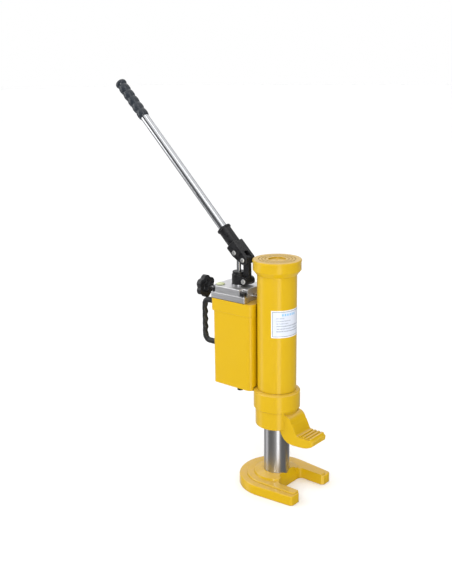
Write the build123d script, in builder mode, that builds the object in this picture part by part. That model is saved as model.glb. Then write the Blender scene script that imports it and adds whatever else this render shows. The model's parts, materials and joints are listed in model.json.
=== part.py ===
"""Hydraulic toe jack: a ground ram on a horseshoe foot, and a cylinder with a
lifting claw, an oil tank and a hand pump that slides up the ram.

Frame: millimetres, +Z up, origin on the floor at the ram's axis, +X out along
the claw, -Y the side with the label. The model stands at `lift` above its
lowest position, and the pump handle leans 45 degrees back.
"""
from build123d import *
from math import cos, radians, sin
import os

os.makedirs("parts", exist_ok=True)

# ---------------------------------------------------------------- clearances
RUN = 0.08  # radial running fit of a sliding or turning piece
PIN = 0.06  # radial fit of a hinge pin
GAP = 0.6  # side gap of an eye between two plates
SCREW = 0.3  # radial clearance of a screw in its hole

# ---------------------------------------------------------------- foot
foot_rear_r = 98.0
foot_tip_x = 112.0
foot_tip_half = 88.0
foot_h = 25.0  # outer ledge
band_h = 28.5  # raised inner band
band_inset = 19.0
rim_h = 33.0  # edge of the centre plateau
seat_h = 38.0  # where the ram enters the foot
tray_r = 58.0
slot_back = 39.0
slot_half = 52.0
slot_corner_r = 13.0
relief_half = 32.0  # notch in the slot's back that the claw's root enters at the lowest position
relief_x, relief_z = 9.3, 16.0
tip_flare = 6.0  # slot opening out at the tips
tip_r = 9.0

# ---------------------------------------------------------------- ram, piston
ram_d = 67.0
ram_floor = 10.0  # foot metal left under the ram
bore_d = 75.0
piston_h = 32.0
piston_nut_h = 11.0
ram_spigot_d = 50.0
sleeve_wall = 2.5
set_screw_d = 10.0
set_screw_z = 16.0
set_screw_bite = 6.0  # how far it enters the ram
set_screw_len = 45.0

# ---------------------------------------------------------------- cylinder
lift = 127.0  # present height above the lowest position
lift_left = 83.0  # travel still available
hub_h = 48.0
hub_d = 111.0
collar_d = 120.0
collar_h = 50.0
collar_chamfer = 5.0
spigot_d = 92.0
tube_d = 100.0
tube_below_collar_top = 34.0
cap_d = 121.0
cap_lip = 0.8
cap_wall_h = 26.0
cap_taper_h = 12.0
cap_top_t = 20.0
cap_plug_h = 12.0
body_h = 437.0  # hub underside to cap top

hub_z = seat_h + 1.0 + lift
collar_z = hub_z + hub_h
collar_top = collar_z + collar_h
tube_z = collar_top - tube_below_collar_top
cap_top = hub_z + body_h
cap_z = cap_top - cap_wall_h - cap_taper_h
tube_top = cap_top - cap_top_t
gland_top = collar_top - 2.0
sleeve_z = gland_top + lift_left + 1.0
ram_top = tube_top - cap_plug_h - lift - 6.0
piston_z = ram_top - piston_nut_h - piston_h

# ---------------------------------------------------------------- toe
toe_w = 62.0
toe_reach = 133.0
lip_top = hub_z - 5.0  # flat ribbed face
lip_drop = 32.0  # lowest point of the claw below the hub
rib_pitch = 10.7
rib_count = 4

# ---------------------------------------------------------------- tank
tank_back = -173.0
tank_front = -46.0
tank_half = 48.0
tank_wall = 3.0
tank_top_t = 5.0
tank_h = 231.0
tank_z = collar_top - 10.0
tank_top = tank_z + tank_h
tank_front_r = 17.0
tank_back_r = 8.0
rail_t = 6.0
rail_side_t = 1.2
rail_h = 33.0
drain_x, drain_y = -92.0, -36.0
drain_d = 14.0

# ---------------------------------------------------------------- pump cover
gasket_t = 0.8
cover_back = tank_back - rail_t
cover_front = -67.0
cover_scoop_r = 74.0
tier1_h = 15.2
groove_h = 1.4
tier2_h = 18.0
notch_x, notch_y = 16.0, 15.0
cover_z = tank_top + gasket_t
tier1_top = cover_z + tier1_h
cover_top = tier1_top + tier2_h
screw_d = 8.0
screw_head_d = 13.5
screw_head_h = 9.0
washer_h = 2.4
screw_xs = (cover_back + 8.0, cover_front - 8.0)
screw_y = tank_half - 7.5
filler_x, filler_y = -160.5, -29.5
filler_d = 23.0
filler_h = 6.0
filler_thread_r = 6.0

# ---------------------------------------------------------------- hand pump
plunger_x = -122.5
plunger_d = 11.8
barrel_r = 18.5
barrel_ring_h = 3.0
barrel_h = 26.0
barrel_neck_h = 7.0
barrel_thread_d = 26.0
barrel_thread_h = 16.0
ear_out = 16.5
eye_half = 8.0
ear_in = eye_half + GAP
ear_r = 11.0
link_x, link_z = -94.0, cover_top + 14.0
link_len = 56.0
link_lean = 1.0  # degrees back from upright
link_t = 12.0
link_w = 17.0
link_eye_r = 10.0
link_pin_d = 13.0
fork_pin_d = 12.0

# the lever's own frame: u runs out along the handle, v is square to it
handle_lean = 45.0
fulcrum_x = link_x - link_len * sin(radians(link_lean))
fulcrum_z = link_z + link_len * cos(radians(link_lean))
pin_dz = 16.0  # plunger pin above the fulcrum
fork_half = 18.0
fork_w = 32.0
fork_top = 56.0
pocket_top = 45.5
fork_shift = -4.0  # handle axis off the fulcrum, along v
fork_wall = 4.5
window_u = 19.0
boss_r = 12.2
head_eye_r = 11.0
head_hole_r = 7.7  # open pivot: wide enough for the pin's drift
head_hole_shift = 0.8
head_neck_r = 7.6

# ---------------------------------------------------------------- handle
socket_d = 33.0
socket_len = 45.0
flange_d = 38.0
flange_t = 4.0
tube_bar_d = 23.0
tube_bar_wall = 2.5
socket_floor = 47.5
bar_end = 622.0
grip_start = 494.0
grip_bumps = 5
grip_pitch = 23.0
grip_bump_r = 15.0
grip_waist_r = 12.9
grip_knob_r = 15.5

# ---------------------------------------------------------------- release valve
valve_y = -18.0
valve_z = cover_top - 16.0
knob_x = -223.0
knob_r = 31.0
knob_t = 13.0
knob_hub = 13.0
lobes = 6
spindle_d = 8.0
spindle_in = 27.0  # spindle length inside the block
gland_nut_af = 16.0
gland_nut_h = 11.0
ball_d = 6.0

# ---------------------------------------------------------------- carry handle
grab_out = 76.5  # from tank to outer face
grab_h = 130.0
grab_bar = 15.5
grab_screw_in = 18.0
grab_top = tank_top - 17.0
grab_waves = 4
grab_pitch = 21.6

# ---------------------------------------------------------------- label
label_w = 100.0
label_h = 70.0
label_z = cap_z - 82.0 - label_h
label_start = -70.0  # degrees round from +X
label_t = 0.4

UV = Plane(origin=(fulcrum_x, 0, fulcrum_z), x_dir=(-sin(radians(handle_lean)), 0, cos(radians(handle_lean))),
           z_dir=(0, 1, 0))


def uv(u, v):
    """Point of the fork plane: u out along the handle, v up and forward from it."""
    return (u, v * V_SIGN)


V_SIGN = 1 if UV.y_dir.Z > 0 else -1
pin_dx = plunger_x - fulcrum_x
pin_u = -pin_dx * sin(radians(handle_lean)) + pin_dz * cos(radians(handle_lean))
pin_v = pin_dx * cos(radians(handle_lean)) + pin_dz * sin(radians(handle_lean))


def export(part, name):
    """Label one finished piece and write it as parts/<name>.step."""
    part.label = name
    export_step(part, f"parts/{name}.step")


def ring(name, outer_r, inner_r, z, h, at=(0, 0)):
    """Write a plain ring standing on z."""
    with BuildPart() as piece:
        with BuildSketch(Plane(origin=(at[0], at[1], z))):
            Circle(outer_r)
            Circle(inner_r, mode=Mode.SUBTRACT)
        extrude(amount=h)
    export(piece.part, name)


# ================================================================ base
def horseshoe(rear_r, tip_half, tip_x, corner_r):
    """Outline that runs from a round back to two square-set tips."""
    Circle(rear_r)
    with Locations(*[(tip_x - corner_r, side * (tip_half - corner_r)) for side in (-1, 1)]):
        Circle(corner_r)
    make_hull(mode=Mode.ADD)


slot_far = foot_tip_x + 20.0
ram_r = ram_d / 2
bore_r = bore_d / 2

with BuildPart() as foot:
    with BuildSketch():
        horseshoe(foot_rear_r, foot_tip_half, foot_tip_x, tip_r)
    extrude(amount=foot_h)
    fillet(foot.edges().group_by(Axis.Z)[-1], radius=3.5)
    with BuildSketch(Plane.XY.offset(foot_h)):
        horseshoe(foot_rear_r - band_inset, foot_tip_half - band_inset * 0.75, foot_tip_x - 4.0, tip_r)
    extrude(amount=band_h - foot_h)
    chamfer(foot.edges().group_by(Axis.Z)[-1], length=2.0)
    with BuildSketch(Plane.XZ):
        with BuildLine():
            Polyline((0, band_h - 1), (tray_r + 2.5, band_h - 1), (tray_r, rim_h), (ram_r + 2, seat_h),
                     (0, seat_h), (0, band_h - 1))
        make_face()
    revolve(axis=Axis.Z)
    with BuildSketch():
        with BuildLine():
            Polyline((slot_far, -slot_half - tip_flare), (foot_tip_x + 1, -slot_half - tip_flare),
                     (foot_tip_x - tip_flare, -slot_half), (slot_back, -slot_half),
                     (slot_back, slot_half), (foot_tip_x - tip_flare, slot_half),
                     (foot_tip_x + 1, slot_half + tip_flare), (slot_far, slot_half + tip_flare),
                     (slot_far, -slot_half - tip_flare))
        make_face()
        fillet(vertices().group_by(Axis.X)[0], radius=slot_corner_r)
    extrude(amount=seat_h + 5, mode=Mode.SUBTRACT)
    with BuildSketch(Plane.XZ):
        with BuildLine():
            Polyline((slot_back + 0.5, seat_h + 1 - relief_z), (slot_back + 0.5, seat_h + 1),
                     (slot_back + 0.5 - relief_x, seat_h + 1), (slot_back + 0.5, seat_h + 1 - relief_z))
        make_face()
    extrude(amount=relief_half, both=True, mode=Mode.SUBTRACT)
    with BuildSketch(Plane.XY.offset(ram_floor)):
        Circle(ram_r)
    extrude(amount=seat_h, mode=Mode.SUBTRACT)
    with BuildSketch(Plane.YZ.offset(-foot_rear_r)):
        with Locations((0, set_screw_z)):
            Circle(set_screw_d / 2)
    extrude(amount=foot_rear_r - ram_r + 1, mode=Mode.SUBTRACT)
export(foot.part, "foot")

with BuildPart() as ram:
    with BuildSketch(Plane.XZ):
        with BuildLine():
            Polyline((0, ram_floor), (ram_r, ram_floor), (ram_r, piston_z), (ram_spigot_d / 2, piston_z),
                     (ram_spigot_d / 2, ram_top - 1.5), (ram_spigot_d / 2 - 1.5, ram_top), (0, ram_top),
                     (0, ram_floor))
        make_face()
    revolve(axis=Axis.Z)
    with BuildSketch(Plane.YZ.offset(-ram_r - 1)):
        with Locations((0, set_screw_z)):
            Circle(set_screw_d / 2)
    extrude(amount=set_screw_bite + 1, mode=Mode.SUBTRACT)
export(ram.part, "ram")

with BuildPart() as foot_set_screw:
    with BuildSketch(Plane.YZ.offset(-ram_r + set_screw_bite)):
        with Locations((0, set_screw_z)):
            Circle(set_screw_d / 2)
    extrude(amount=-set_screw_len)
    chamfer(foot_set_screw.edges().filter_by(GeomType.CIRCLE), length=0.8)
    with BuildSketch(Plane.YZ.offset(-ram_r + set_screw_bite - set_screw_len)):
        with Locations((0, set_screw_z)):
            RegularPolygon(3.4, 6)
    extrude(amount=7, mode=Mode.SUBTRACT)
export(foot_set_screw.part, "foot_set_screw")

piston_r = bore_r - RUN
band_w, seal_w, groove_d = 9.0, 8.0, 4.5
band_z = piston_z + 4.0
seal_z = piston_z + piston_h - seal_w - 5.0
with BuildPart() as piston:
    with BuildSketch(Plane.XY.offset(piston_z)):
        Circle(piston_r - 0.5)
        Circle(ram_spigot_d / 2, mode=Mode.SUBTRACT)
    extrude(amount=piston_h)
    for groove_z, width in ((band_z, band_w), (seal_z, seal_w)):
        with BuildSketch(Plane.XY.offset(groove_z)):
            Circle(bore_r)
            Circle(piston_r - groove_d, mode=Mode.SUBTRACT)
        extrude(amount=width, mode=Mode.SUBTRACT)
export(piston.part, "piston")
ring("piston_guide_band", piston_r, piston_r - groove_d, band_z, band_w)
ring("piston_seal", piston_r, piston_r - groove_d, seal_z, seal_w)
ring("piston_nut", ram_r - 1.0, ram_spigot_d / 2, piston_z + piston_h, piston_nut_h - 1.0)
ring("stop_sleeve", ram_r + sleeve_wall, ram_r, sleeve_z, piston_z - sleeve_z)

# ================================================================ sliding body
with BuildPart() as cylinder_tube:
    with BuildSketch(Plane.XY.offset(tube_z)):
        Circle(tube_d / 2)
        Circle(bore_r, mode=Mode.SUBTRACT)
    extrude(amount=tube_top - tube_z)
    # oil way: in at the nipple, up the wall, out above the ram at its lowest
    nipple_z = cover_z + 11.0
    nipple_d = 10.0
    way_d = 3.6
    way_x = -(bore_r + tube_d / 2) / 2
    way_top = tube_top - cap_plug_h - 3.0
    with BuildSketch(Plane.YZ.offset(-tube_d / 2 - 1)):
        with Locations((0, nipple_z)):
            Circle(nipple_d / 2)
    extrude(amount=tube_d / 2 + way_x + 1 + way_d / 4, mode=Mode.SUBTRACT)
    with BuildSketch(Plane(origin=(way_x, 0, nipple_z))):
        Circle(way_d / 2)
    extrude(amount=way_top - nipple_z, mode=Mode.SUBTRACT)
    with BuildSketch(Plane.YZ.offset(way_x)):
        with Locations((0, way_top - way_d)):
            Circle(way_d / 2 - 0.4)
    extrude(amount=10, mode=Mode.SUBTRACT)
export(cylinder_tube.part, "cylinder_tube")

cap_r = cap_d / 2
with BuildPart() as head_cap:
    with BuildSketch(Plane.XZ):
        with BuildLine():
            Polyline((0, tube_top - cap_plug_h), (bore_r, tube_top - cap_plug_h), (bore_r, tube_top),
                     (tube_d / 2, tube_top), (tube_d / 2, cap_z), (tube_d / 2 + 1.0, cap_z),
                     (cap_r, cap_z + cap_taper_h), (cap_r, cap_top - 6), (cap_r + cap_lip, cap_top - 4.5),
                     (cap_r + cap_lip, cap_top - 1.5), (cap_r - 0.7, cap_top), (0, cap_top),
                     (0, tube_top - cap_plug_h))
        make_face()
    revolve(axis=Axis.Z)
    recess_r, recess_d = 22.0, 3.0
    with BuildSketch(Plane.XY.offset(cap_top - recess_d)):
        Circle(recess_r)
    extrude(amount=recess_d, mode=Mode.SUBTRACT)
    for groove_r in (30.0, 38.0, 46.0):
        with BuildSketch(Plane.XZ):
            with Locations((groove_r, cap_top)):
                Rectangle(2.2, 2.6)
        revolve(axis=Axis.Z, mode=Mode.SUBTRACT)
    with BuildSketch(Plane.XY.offset(cap_top - recess_d)):
        Circle(4.0)
    extrude(amount=-2.5, taper=35, mode=Mode.SUBTRACT)
    with BuildSketch(Plane.XY.offset(tube_top - cap_plug_h + 4)):
        Circle(bore_r)
        Circle(bore_r - 3.0, mode=Mode.SUBTRACT)
    extrude(amount=4, mode=Mode.SUBTRACT)
export(head_cap.part, "head_cap")
ring("head_cap_seal", bore_r, bore_r - 3.0, tube_top - cap_plug_h + 4, 4.0)

collar_r = collar_d / 2
spigot_r = spigot_d / 2
spigot_z = hub_z + 14.0
bush_z = collar_z - 18.0
wiper_z = spigot_z + 4.0
with BuildPart() as collar:
    with BuildSketch(Plane.XZ):
        with BuildLine():
            Polyline((ram_r + 2, spigot_z), (spigot_r, spigot_z), (spigot_r, collar_z), (collar_r - 2, collar_z),
                     (collar_r, collar_z + 2), (collar_r, collar_top - collar_chamfer),
                     (collar_r - 4.0, collar_top - 1.6), (collar_r - 6.5, collar_top - 1.6),
                     (collar_r - 7.2, collar_top), (tube_d / 2, collar_top), (tube_d / 2, tube_z),
                     (bore_r, tube_z), (bore_r, wiper_z), (ram_r + 2, wiper_z), (ram_r + 2, spigot_z))
        make_face()
    revolve(axis=Axis.Z)
export(collar.part, "collar")
ring("gland_bush", bore_r, ram_r + RUN, bush_z, gland_top - bush_z)
with BuildPart() as rod_wiper:
    with BuildSketch(Plane.XZ):
        with BuildLine():
            Polyline((bore_r, wiper_z), (ram_r + 1.6, wiper_z), (ram_r + RUN, wiper_z + 2),
                     (ram_r + RUN, wiper_z + 4), (ram_r + 1.2, wiper_z + 6), (ram_r + 1.2, bush_z),
                     (bore_r, bush_z), (bore_r, wiper_z))
        make_face()
    revolve(axis=Axis.Z)
export(rod_wiper.part, "rod_wiper")

hub_r = hub_d / 2
toe_low = hub_z - lip_drop
with BuildPart() as toe:
    with BuildSketch(Plane.XY.offset(hub_z)):
        Circle(hub_r)
    extrude(amount=hub_h)
    fillet(toe.edges().group_by(Axis.Z)[0], radius=4)
    with BuildSketch(Plane.XZ) as claw_side:
        with BuildLine():
            shoulder = Spline((hub_r - 10, collar_z - 5), (hub_r + 4, hub_z + hub_h * 0.8),
                              (hub_r + 15, hub_z + 22))
            Line(shoulder @ 1, (hub_r + 17.5, hub_z + 20))
            hollow = Spline((hub_r + 17.5, hub_z + 20), (hub_r + 24, hub_z + 6), (hub_r + 36, lip_top),
                            tangents=((0.35, -1), (1, 0)))
            Line(hollow @ 1, (toe_reach - 5, lip_top))
            Line((toe_reach - 5, lip_top), (toe_reach, lip_top - 4))
            Line((toe_reach, lip_top - 4), (toe_reach - 1.5, lip_top - 15))
            belly = Spline((toe_reach - 1.5, lip_top - 15), (toe_reach - 18, toe_low + 4),
                           (toe_reach - 52, toe_low), (hub_r + 8, toe_low + 0.5), (hub_r - 6, toe_low + 6),
                           (hub_r - 16, toe_low + 17), (hub_r - 25, hub_z + 1))
            Line(belly @ 1, (hub_r - 25, hub_z + 10))
            Line((hub_r - 25, hub_z + 10), (hub_r - 10, hub_z + 10))
            Line((hub_r - 10, hub_z + 10), (hub_r - 10, collar_z - 5))
        make_face()
    extrude(amount=toe_w / 2, both=True)
    chamfer(toe.edges().filter_by(GeomType.LINE).filter_by(
        lambda e: e.center().X > toe_reach - 3 and abs(abs(e.center().Y) - toe_w / 2) < 0.1), length=2.5)
    with BuildSketch(Plane.XZ):
        with Locations(*[(toe_reach - 9 - i * rib_pitch, lip_top + 1.2) for i in range(rib_count)]):
            Trapezoid(9.0, 4.4, 70)
    extrude(amount=toe_w / 2 - 2.5, both=True)
    with BuildSketch(Plane.XY.offset(hub_z - lip_drop - 5)):
        Circle(ram_r + 2)
    extrude(amount=hub_h + lip_drop + 10, mode=Mode.SUBTRACT)
    with BuildSketch(Plane.XY.offset(spigot_z)):
        Circle(spigot_r)
    extrude(amount=hub_h, mode=Mode.SUBTRACT)
export(toe.part, "toe")

with BuildPart() as rating_label:
    with BuildSketch(Plane.XZ.rotated((0, 0, label_start))):
        with Locations((tube_d / 2 + label_t / 2, label_z + label_h / 2)):
            Rectangle(label_t, label_h)
    revolve(axis=Axis.Z, revolution_arc=label_w / (tube_d / 2) * 180 / 3.14159265)
export(rating_label.part, "rating_label")

# ================================================================ tank
tank_mid = (tank_back + tank_front) / 2


def tank_plan(inset, around):
    """Tank outline drawn in by `inset`, hollowed round a vertical barrel of radius `around`."""
    with Locations((tank_mid, 0)):
        Rectangle(tank_front - tank_back - 2 * inset, 2 * (tank_half - inset))
    fillet(vertices().group_by(Axis.X)[0], radius=tank_back_r - inset)
    fillet(vertices().group_by(Axis.X)[-1], radius=tank_front_r - inset)
    Circle(around, mode=Mode.SUBTRACT)


with BuildPart() as tank_shell:
    with BuildSketch(Plane.XY.offset(tank_z)):
        tank_plan(0, tube_d / 2)
    extrude(amount=tank_h)
    with BuildSketch(Plane.XY.offset(tank_z + tank_wall)):
        tank_plan(tank_wall, tube_d / 2 + tank_wall)
    extrude(amount=tank_h - tank_wall - tank_top_t, mode=Mode.SUBTRACT)
    # the floor steps up over the collar
    with BuildSketch(Plane.XY.offset(tank_z)) as step_plan:
        tank_plan(0, tube_d / 2)
        Circle(collar_r + tank_wall, mode=Mode.INTERSECT)
    extrude(amount=collar_top - tank_z + tank_wall)
    with BuildSketch(Plane.XY.offset(tank_z)):
        Circle(collar_r)
    extrude(amount=collar_top - tank_z, mode=Mode.SUBTRACT)
    with BuildSketch(Plane.XY.offset(tank_top - tank_top_t)):
        with Locations((plunger_x - 5.0, 0)):
            RectangleRounded(70, 62, 6)
    extrude(amount=tank_top_t, mode=Mode.SUBTRACT)
    with BuildSketch(Plane.XY.offset(tank_top - 14)):
        with Locations(*[(screw_xs[1], side * screw_y) for side in (-1, 1)]):
            Circle(7.0)
    extrude(amount=14 - tank_top_t)
    with BuildSketch(Plane.XY.offset(tank_top - 14)):
        with Locations(*[(x, side * screw_y) for x in screw_xs for side in (-1, 1)]):
            Circle(screw_d / 2)
    extrude(amount=14, mode=Mode.SUBTRACT)
    with BuildSketch(Plane.XY.offset(tank_z)):
        with Locations((drain_x, drain_y)):
            Circle(drain_d / 2 - 2)
    extrude(amount=tank_wall, mode=Mode.SUBTRACT)
    grab_screw_zs = (grab_top - grab_bar / 2, grab_top - grab_h + grab_bar / 2)
    with BuildSketch(Plane.YZ.offset(tank_back)):
        with Locations(*[(0, z) for z in grab_screw_zs]):
            Circle(3.0)
    extrude(amount=tank_wall, mode=Mode.SUBTRACT)
export(tank_shell.part, "tank_shell")

with BuildPart() as tank_rail:
    with BuildSketch(Plane.XY.offset(tank_top - rail_h)):
        with Locations(((tank_back - rail_t + tank_front + rail_side_t) / 2, 0)):
            Rectangle(tank_front - tank_back + rail_side_t + rail_t, 2 * (tank_half + rail_side_t))
        fillet(vertices().group_by(Axis.X)[0], radius=tank_back_r + rail_side_t)
        fillet(vertices().group_by(Axis.X)[-1], radius=tank_front_r + rail_side_t)
    extrude(amount=rail_h)
    chamfer(tank_rail.edges().group_by(Axis.Z)[0], length=rail_side_t * 0.6)
    with BuildSketch(Plane.XY.offset(tank_top - rail_h)):
        tank_plan(0, tube_d / 2)
        Circle(tube_d / 2)
    extrude(amount=rail_h, mode=Mode.SUBTRACT)
    with BuildSketch(Plane.XY.offset(tank_top - 14)):
        with Locations(*[(screw_xs[0], side * screw_y) for side in (-1, 1)]):
            Circle(screw_d / 2)
    extrude(amount=14, mode=Mode.SUBTRACT)
    with BuildSketch(Plane.YZ.offset(tank_back - rail_t)):
        with Locations((0, grab_screw_zs[0])):
            Circle(3.0)
    extrude(amount=rail_t, mode=Mode.SUBTRACT)
export(tank_rail.part, "tank_rail")

with BuildPart() as drain_plug:
    with BuildSketch(Plane(origin=(drain_x, drain_y, tank_z - 1.5 - 6.0))):
        RegularPolygon(drain_d / 2 + 1.5, 6)
    extrude(amount=6.0)
    with BuildSketch(Plane(origin=(drain_x, drain_y, tank_z - 1.5))):
        Circle(drain_d / 2 - 2)
    extrude(amount=tank_wall + 6)
export(drain_plug.part, "drain_plug")
ring("drain_washer", drain_d / 2 + 1.5, drain_d / 2 - 2, tank_z - 1.5, 1.5, at=(drain_x, drain_y))

# ================================================================ pump cover
cover_mid = (cover_back + cover_front) / 2
cover_l = cover_front - cover_back
suction_d = 8.0
retainer_t = 1.5
way_end_x = -100.0  # where the return and pressure drillings turn down


def cover_plan(inset):
    """Cover outline: a rectangle whose front end is hollowed round the cylinder."""
    with Locations((cover_mid, 0)):
        Rectangle(cover_l - 2 * inset, 2 * (tank_half - inset))
    fillet(vertices(), radius=3)
    Circle(cover_scoop_r + inset, mode=Mode.SUBTRACT)


thread_z = cover_top - barrel_thread_h
with BuildPart() as pump_cover:
    with BuildSketch(Plane.XY.offset(cover_z)):
        cover_plan(0)
    extrude(amount=tier1_h)
    chamfer(pump_cover.edges().group_by(Axis.Z)[-1], length=0.8)
    with BuildSketch(Plane.XY.offset(tier1_top)):
        cover_plan(2.0)
    extrude(amount=groove_h)
    with BuildSketch(Plane.XY.offset(tier1_top + groove_h)):
        cover_plan(0.6)
    extrude(amount=tier2_h - groove_h)
    with BuildSketch(Plane.XY.offset(tier1_top)):
        with Locations(*[(x, side * tank_half) for x in (cover_back, cover_front) for side in (-1, 1)]):
            Rectangle(2 * notch_x, 2 * notch_y)
    extrude(amount=tier2_h, mode=Mode.SUBTRACT)
    chamfer(pump_cover.edges().group_by(Axis.Z)[-1], length=1.0)
    with BuildSketch(Plane.XY.offset(cover_z)):
        with Locations(*[(x, side * screw_y) for x in screw_xs for side in (-1, 1)]):
            Circle(screw_d / 2 + SCREW)
    extrude(amount=tier1_h, mode=Mode.SUBTRACT)
    # pump chamber, valve pockets and oil ways
    for at, start, end, dia in (
        ((plunger_x, 0), thread_z, cover_top, barrel_thread_d),
        ((plunger_x, 0), thread_z - retainer_t, thread_z, 16.0),
        ((plunger_x, 0), cover_z + 5, thread_z - retainer_t, 10.0),
        ((plunger_x, 0), cover_z, cover_z + 5, suction_d),
        ((filler_x, filler_y), cover_z, cover_top, 9.0),
        ((filler_x, filler_y), cover_top - 10.0, cover_top, 2 * filler_thread_r),
        ((cover_back + spindle_in - 3.5, valve_y), cover_z, valve_z, 3.0),
        ((way_end_x, valve_y), nipple_z - 0.6, valve_z + 0.6, 3.0),
    ):
        with BuildSketch(Plane(origin=(at[0], at[1], start))):
            Circle(dia / 2)
        extrude(amount=end - start, mode=Mode.SUBTRACT)
    for start, end, y, z, dia in (
        (plunger_x, cover_front - 9.0, 0, nipple_z, 6.0),
        (plunger_x + 20, cover_front - 9.0, 0, nipple_z, nipple_d),
        (cover_front - 9.0, cover_front + 1, 0, nipple_z, nipple_d),
        (cover_back - 1, cover_back + spindle_in, valve_y, valve_z, spindle_d + 2 * RUN),
        (cover_back - 1, cover_back + 9.0, valve_y, valve_z, 12.0),
        (cover_back + spindle_in - 1, way_end_x + 0.6, valve_y, valve_z, 2.6),
    ):
        with BuildSketch(Plane.YZ.offset(start)):
            with Locations((y, z)):
                Circle(dia / 2)
        extrude(amount=end - start, mode=Mode.SUBTRACT)
    for y_from, dia in ((valve_y - 0.5, 2.6), (tank_half - 9.0, 6.0)):
        with BuildSketch(Plane.XZ.offset(-tank_half)):
            with Locations((way_end_x, nipple_z)):
                Circle(dia / 2)
        extrude(amount=tank_half - y_from, mode=Mode.SUBTRACT)
export(pump_cover.part, "pump_cover")

with BuildPart() as drilling_plug:
    with BuildSketch(Plane.XZ.offset(-(tank_half - 1.0))):
        with Locations((way_end_x, nipple_z)):
            Circle(3.0)
    extrude(amount=8.0)
    with BuildSketch(Plane.XZ.offset(-(tank_half - 1.0))):
        with Locations((way_end_x, nipple_z)):
            RegularPolygon(1.7, 6)
    extrude(amount=3.0, mode=Mode.SUBTRACT)
export(drilling_plug.part, "drilling_plug")

with BuildPart() as cover_gasket:
    with BuildSketch(Plane.XY.offset(tank_top)):
        with Locations((cover_mid, 0)):
            Rectangle(cover_l - 1, 2 * (tank_half - 0.8))
        Circle(cover_scoop_r + 1, mode=Mode.SUBTRACT)
        with Locations((plunger_x - 5.0, 0)):
            RectangleRounded(70, 62, 6, mode=Mode.SUBTRACT)
        with Locations(*[(x, side * screw_y) for x in screw_xs for side in (-1, 1)]):
            Circle(screw_d / 2 + SCREW, mode=Mode.SUBTRACT)
        with Locations((cover_mid, 0)):
            Rectangle(cover_l + 2, 200, mode=Mode.INTERSECT)
    extrude(amount=gasket_t)
export(cover_gasket.part, "cover_gasket")

seat_z = tier1_top + washer_h
with BuildPart() as cover_screws:
    with BuildSketch(Plane.XY.offset(tank_top - 12)):
        with Locations(*[(x, side * screw_y) for x in screw_xs for side in (-1, 1)]):
            Circle(screw_d / 2)
    extrude(amount=seat_z - tank_top + 12)
    with BuildSketch(Plane.XY.offset(seat_z)):
        with Locations(*[(x, side * screw_y) for x in screw_xs for side in (-1, 1)]):
            Circle(screw_head_d / 2)
    extrude(amount=screw_head_h)
    chamfer(cover_screws.edges().group_by(Axis.Z)[-1], length=0.8)
    with BuildSketch(Plane.XY.offset(seat_z + screw_head_h)):
        with Locations(*[(x, side * screw_y) for x in screw_xs for side in (-1, 1)]):
            RegularPolygon(3.5, 6)
    extrude(amount=-4.5, mode=Mode.SUBTRACT)
export(cover_screws.part, "cover_screws")

with BuildPart() as spring_washers:
    with BuildSketch(Plane.XY.offset(tier1_top)):
        with Locations(*[(x, side * screw_y) for x in screw_xs for side in (-1, 1)]):
            Circle(screw_head_d / 2 + 0.6)
            Circle(screw_d / 2 + 0.2, mode=Mode.SUBTRACT)
    extrude(amount=washer_h)
export(spring_washers.part, "spring_washers")

with BuildPart() as filler_cap:
    with BuildSketch(Plane(origin=(filler_x, filler_y, cover_top), x_dir=(1, 0, 0), z_dir=(0, -1, 0))):
        with BuildLine():
            Polyline((0, filler_h), (0, -9.0), (filler_thread_r, -9.0), (filler_thread_r, 1.0), (filler_d / 2, 1.0),
                     (filler_d / 2, 2.2))
            TangentArc((0, filler_h), (filler_d / 2, 2.2), tangent=(1, 0))
        make_face()
    revolve(axis=Axis((filler_x, filler_y, 0), (0, 0, 1)))
export(filler_cap.part, "filler_cap")
ring("filler_seal", filler_d / 2 - 1.0, filler_thread_r, cover_top, 1.0, at=(filler_x, filler_y))

with BuildPart() as pressure_nipple:
    with BuildSketch(Plane.YZ.offset(cover_front - 9.0)):
        with Locations((0, nipple_z)):
            Circle(nipple_d / 2)
            Circle(2.0, mode=Mode.SUBTRACT)
    extrude(amount=way_x - 0.5 - cover_front + 9.0)
export(pressure_nipple.part, "pressure_nipple")

# ---------------------------------------------------------------- valve balls and springs


def coil(name, start, direction, length, radius, wire, turns):
    """Write a compression spring as round wire on a helix."""
    with BuildPart() as spring:
        with BuildLine():
            path = Helix(pitch=length / turns, height=length, radius=radius, center=start, direction=direction)
        with BuildSketch(Plane(origin=path @ 0, z_dir=path % 0)):
            Circle(wire / 2)
        sweep(path=path, is_frenet=True)
    export(spring.part, name)


def ball(name, centre, diameter):
    """Write one steel ball."""
    with BuildPart() as piece:
        with Locations(centre):
            Sphere(diameter / 2)
    export(piece.part, name)


ball("suction_ball", (plunger_x, 0, cover_z + 9.0), 8.4)
ring("suction_retainer", 8.0, 2.5, thread_z - retainer_t, retainer_t, at=(plunger_x, 0))
ball("discharge_ball", (plunger_x + 25.0, 0, nipple_z), 8.4)
coil("discharge_spring", (plunger_x + 29.6, 0, nipple_z), (1, 0, 0), cover_front - 9.5 - plunger_x - 30.2,
     3.6, 0.8, 4)

tube_low = tank_z + tank_wall + 12.0
ring("suction_tube", suction_d / 2, suction_d / 2 - 1.2, tube_low, cover_z + 4.5 - tube_low,
     at=(plunger_x, 0))
with BuildPart() as suction_strainer:
    with BuildSketch(Plane(origin=(plunger_x, 0, tank_z + tank_wall + 3.0))):
        Circle(12.0)
    extrude(amount=24.0)
    with BuildSketch(Plane(origin=(plunger_x, 0, tank_z + tank_wall + 6.0))):
        Circle(9.5)
    extrude(amount=18.0, mode=Mode.SUBTRACT)
    with BuildSketch(Plane(origin=(plunger_x, 0, tank_z + tank_wall + 20.0))):
        Circle(suction_d / 2)
    extrude(amount=10.0, mode=Mode.SUBTRACT)
export(suction_strainer.part, "suction_strainer")

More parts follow.
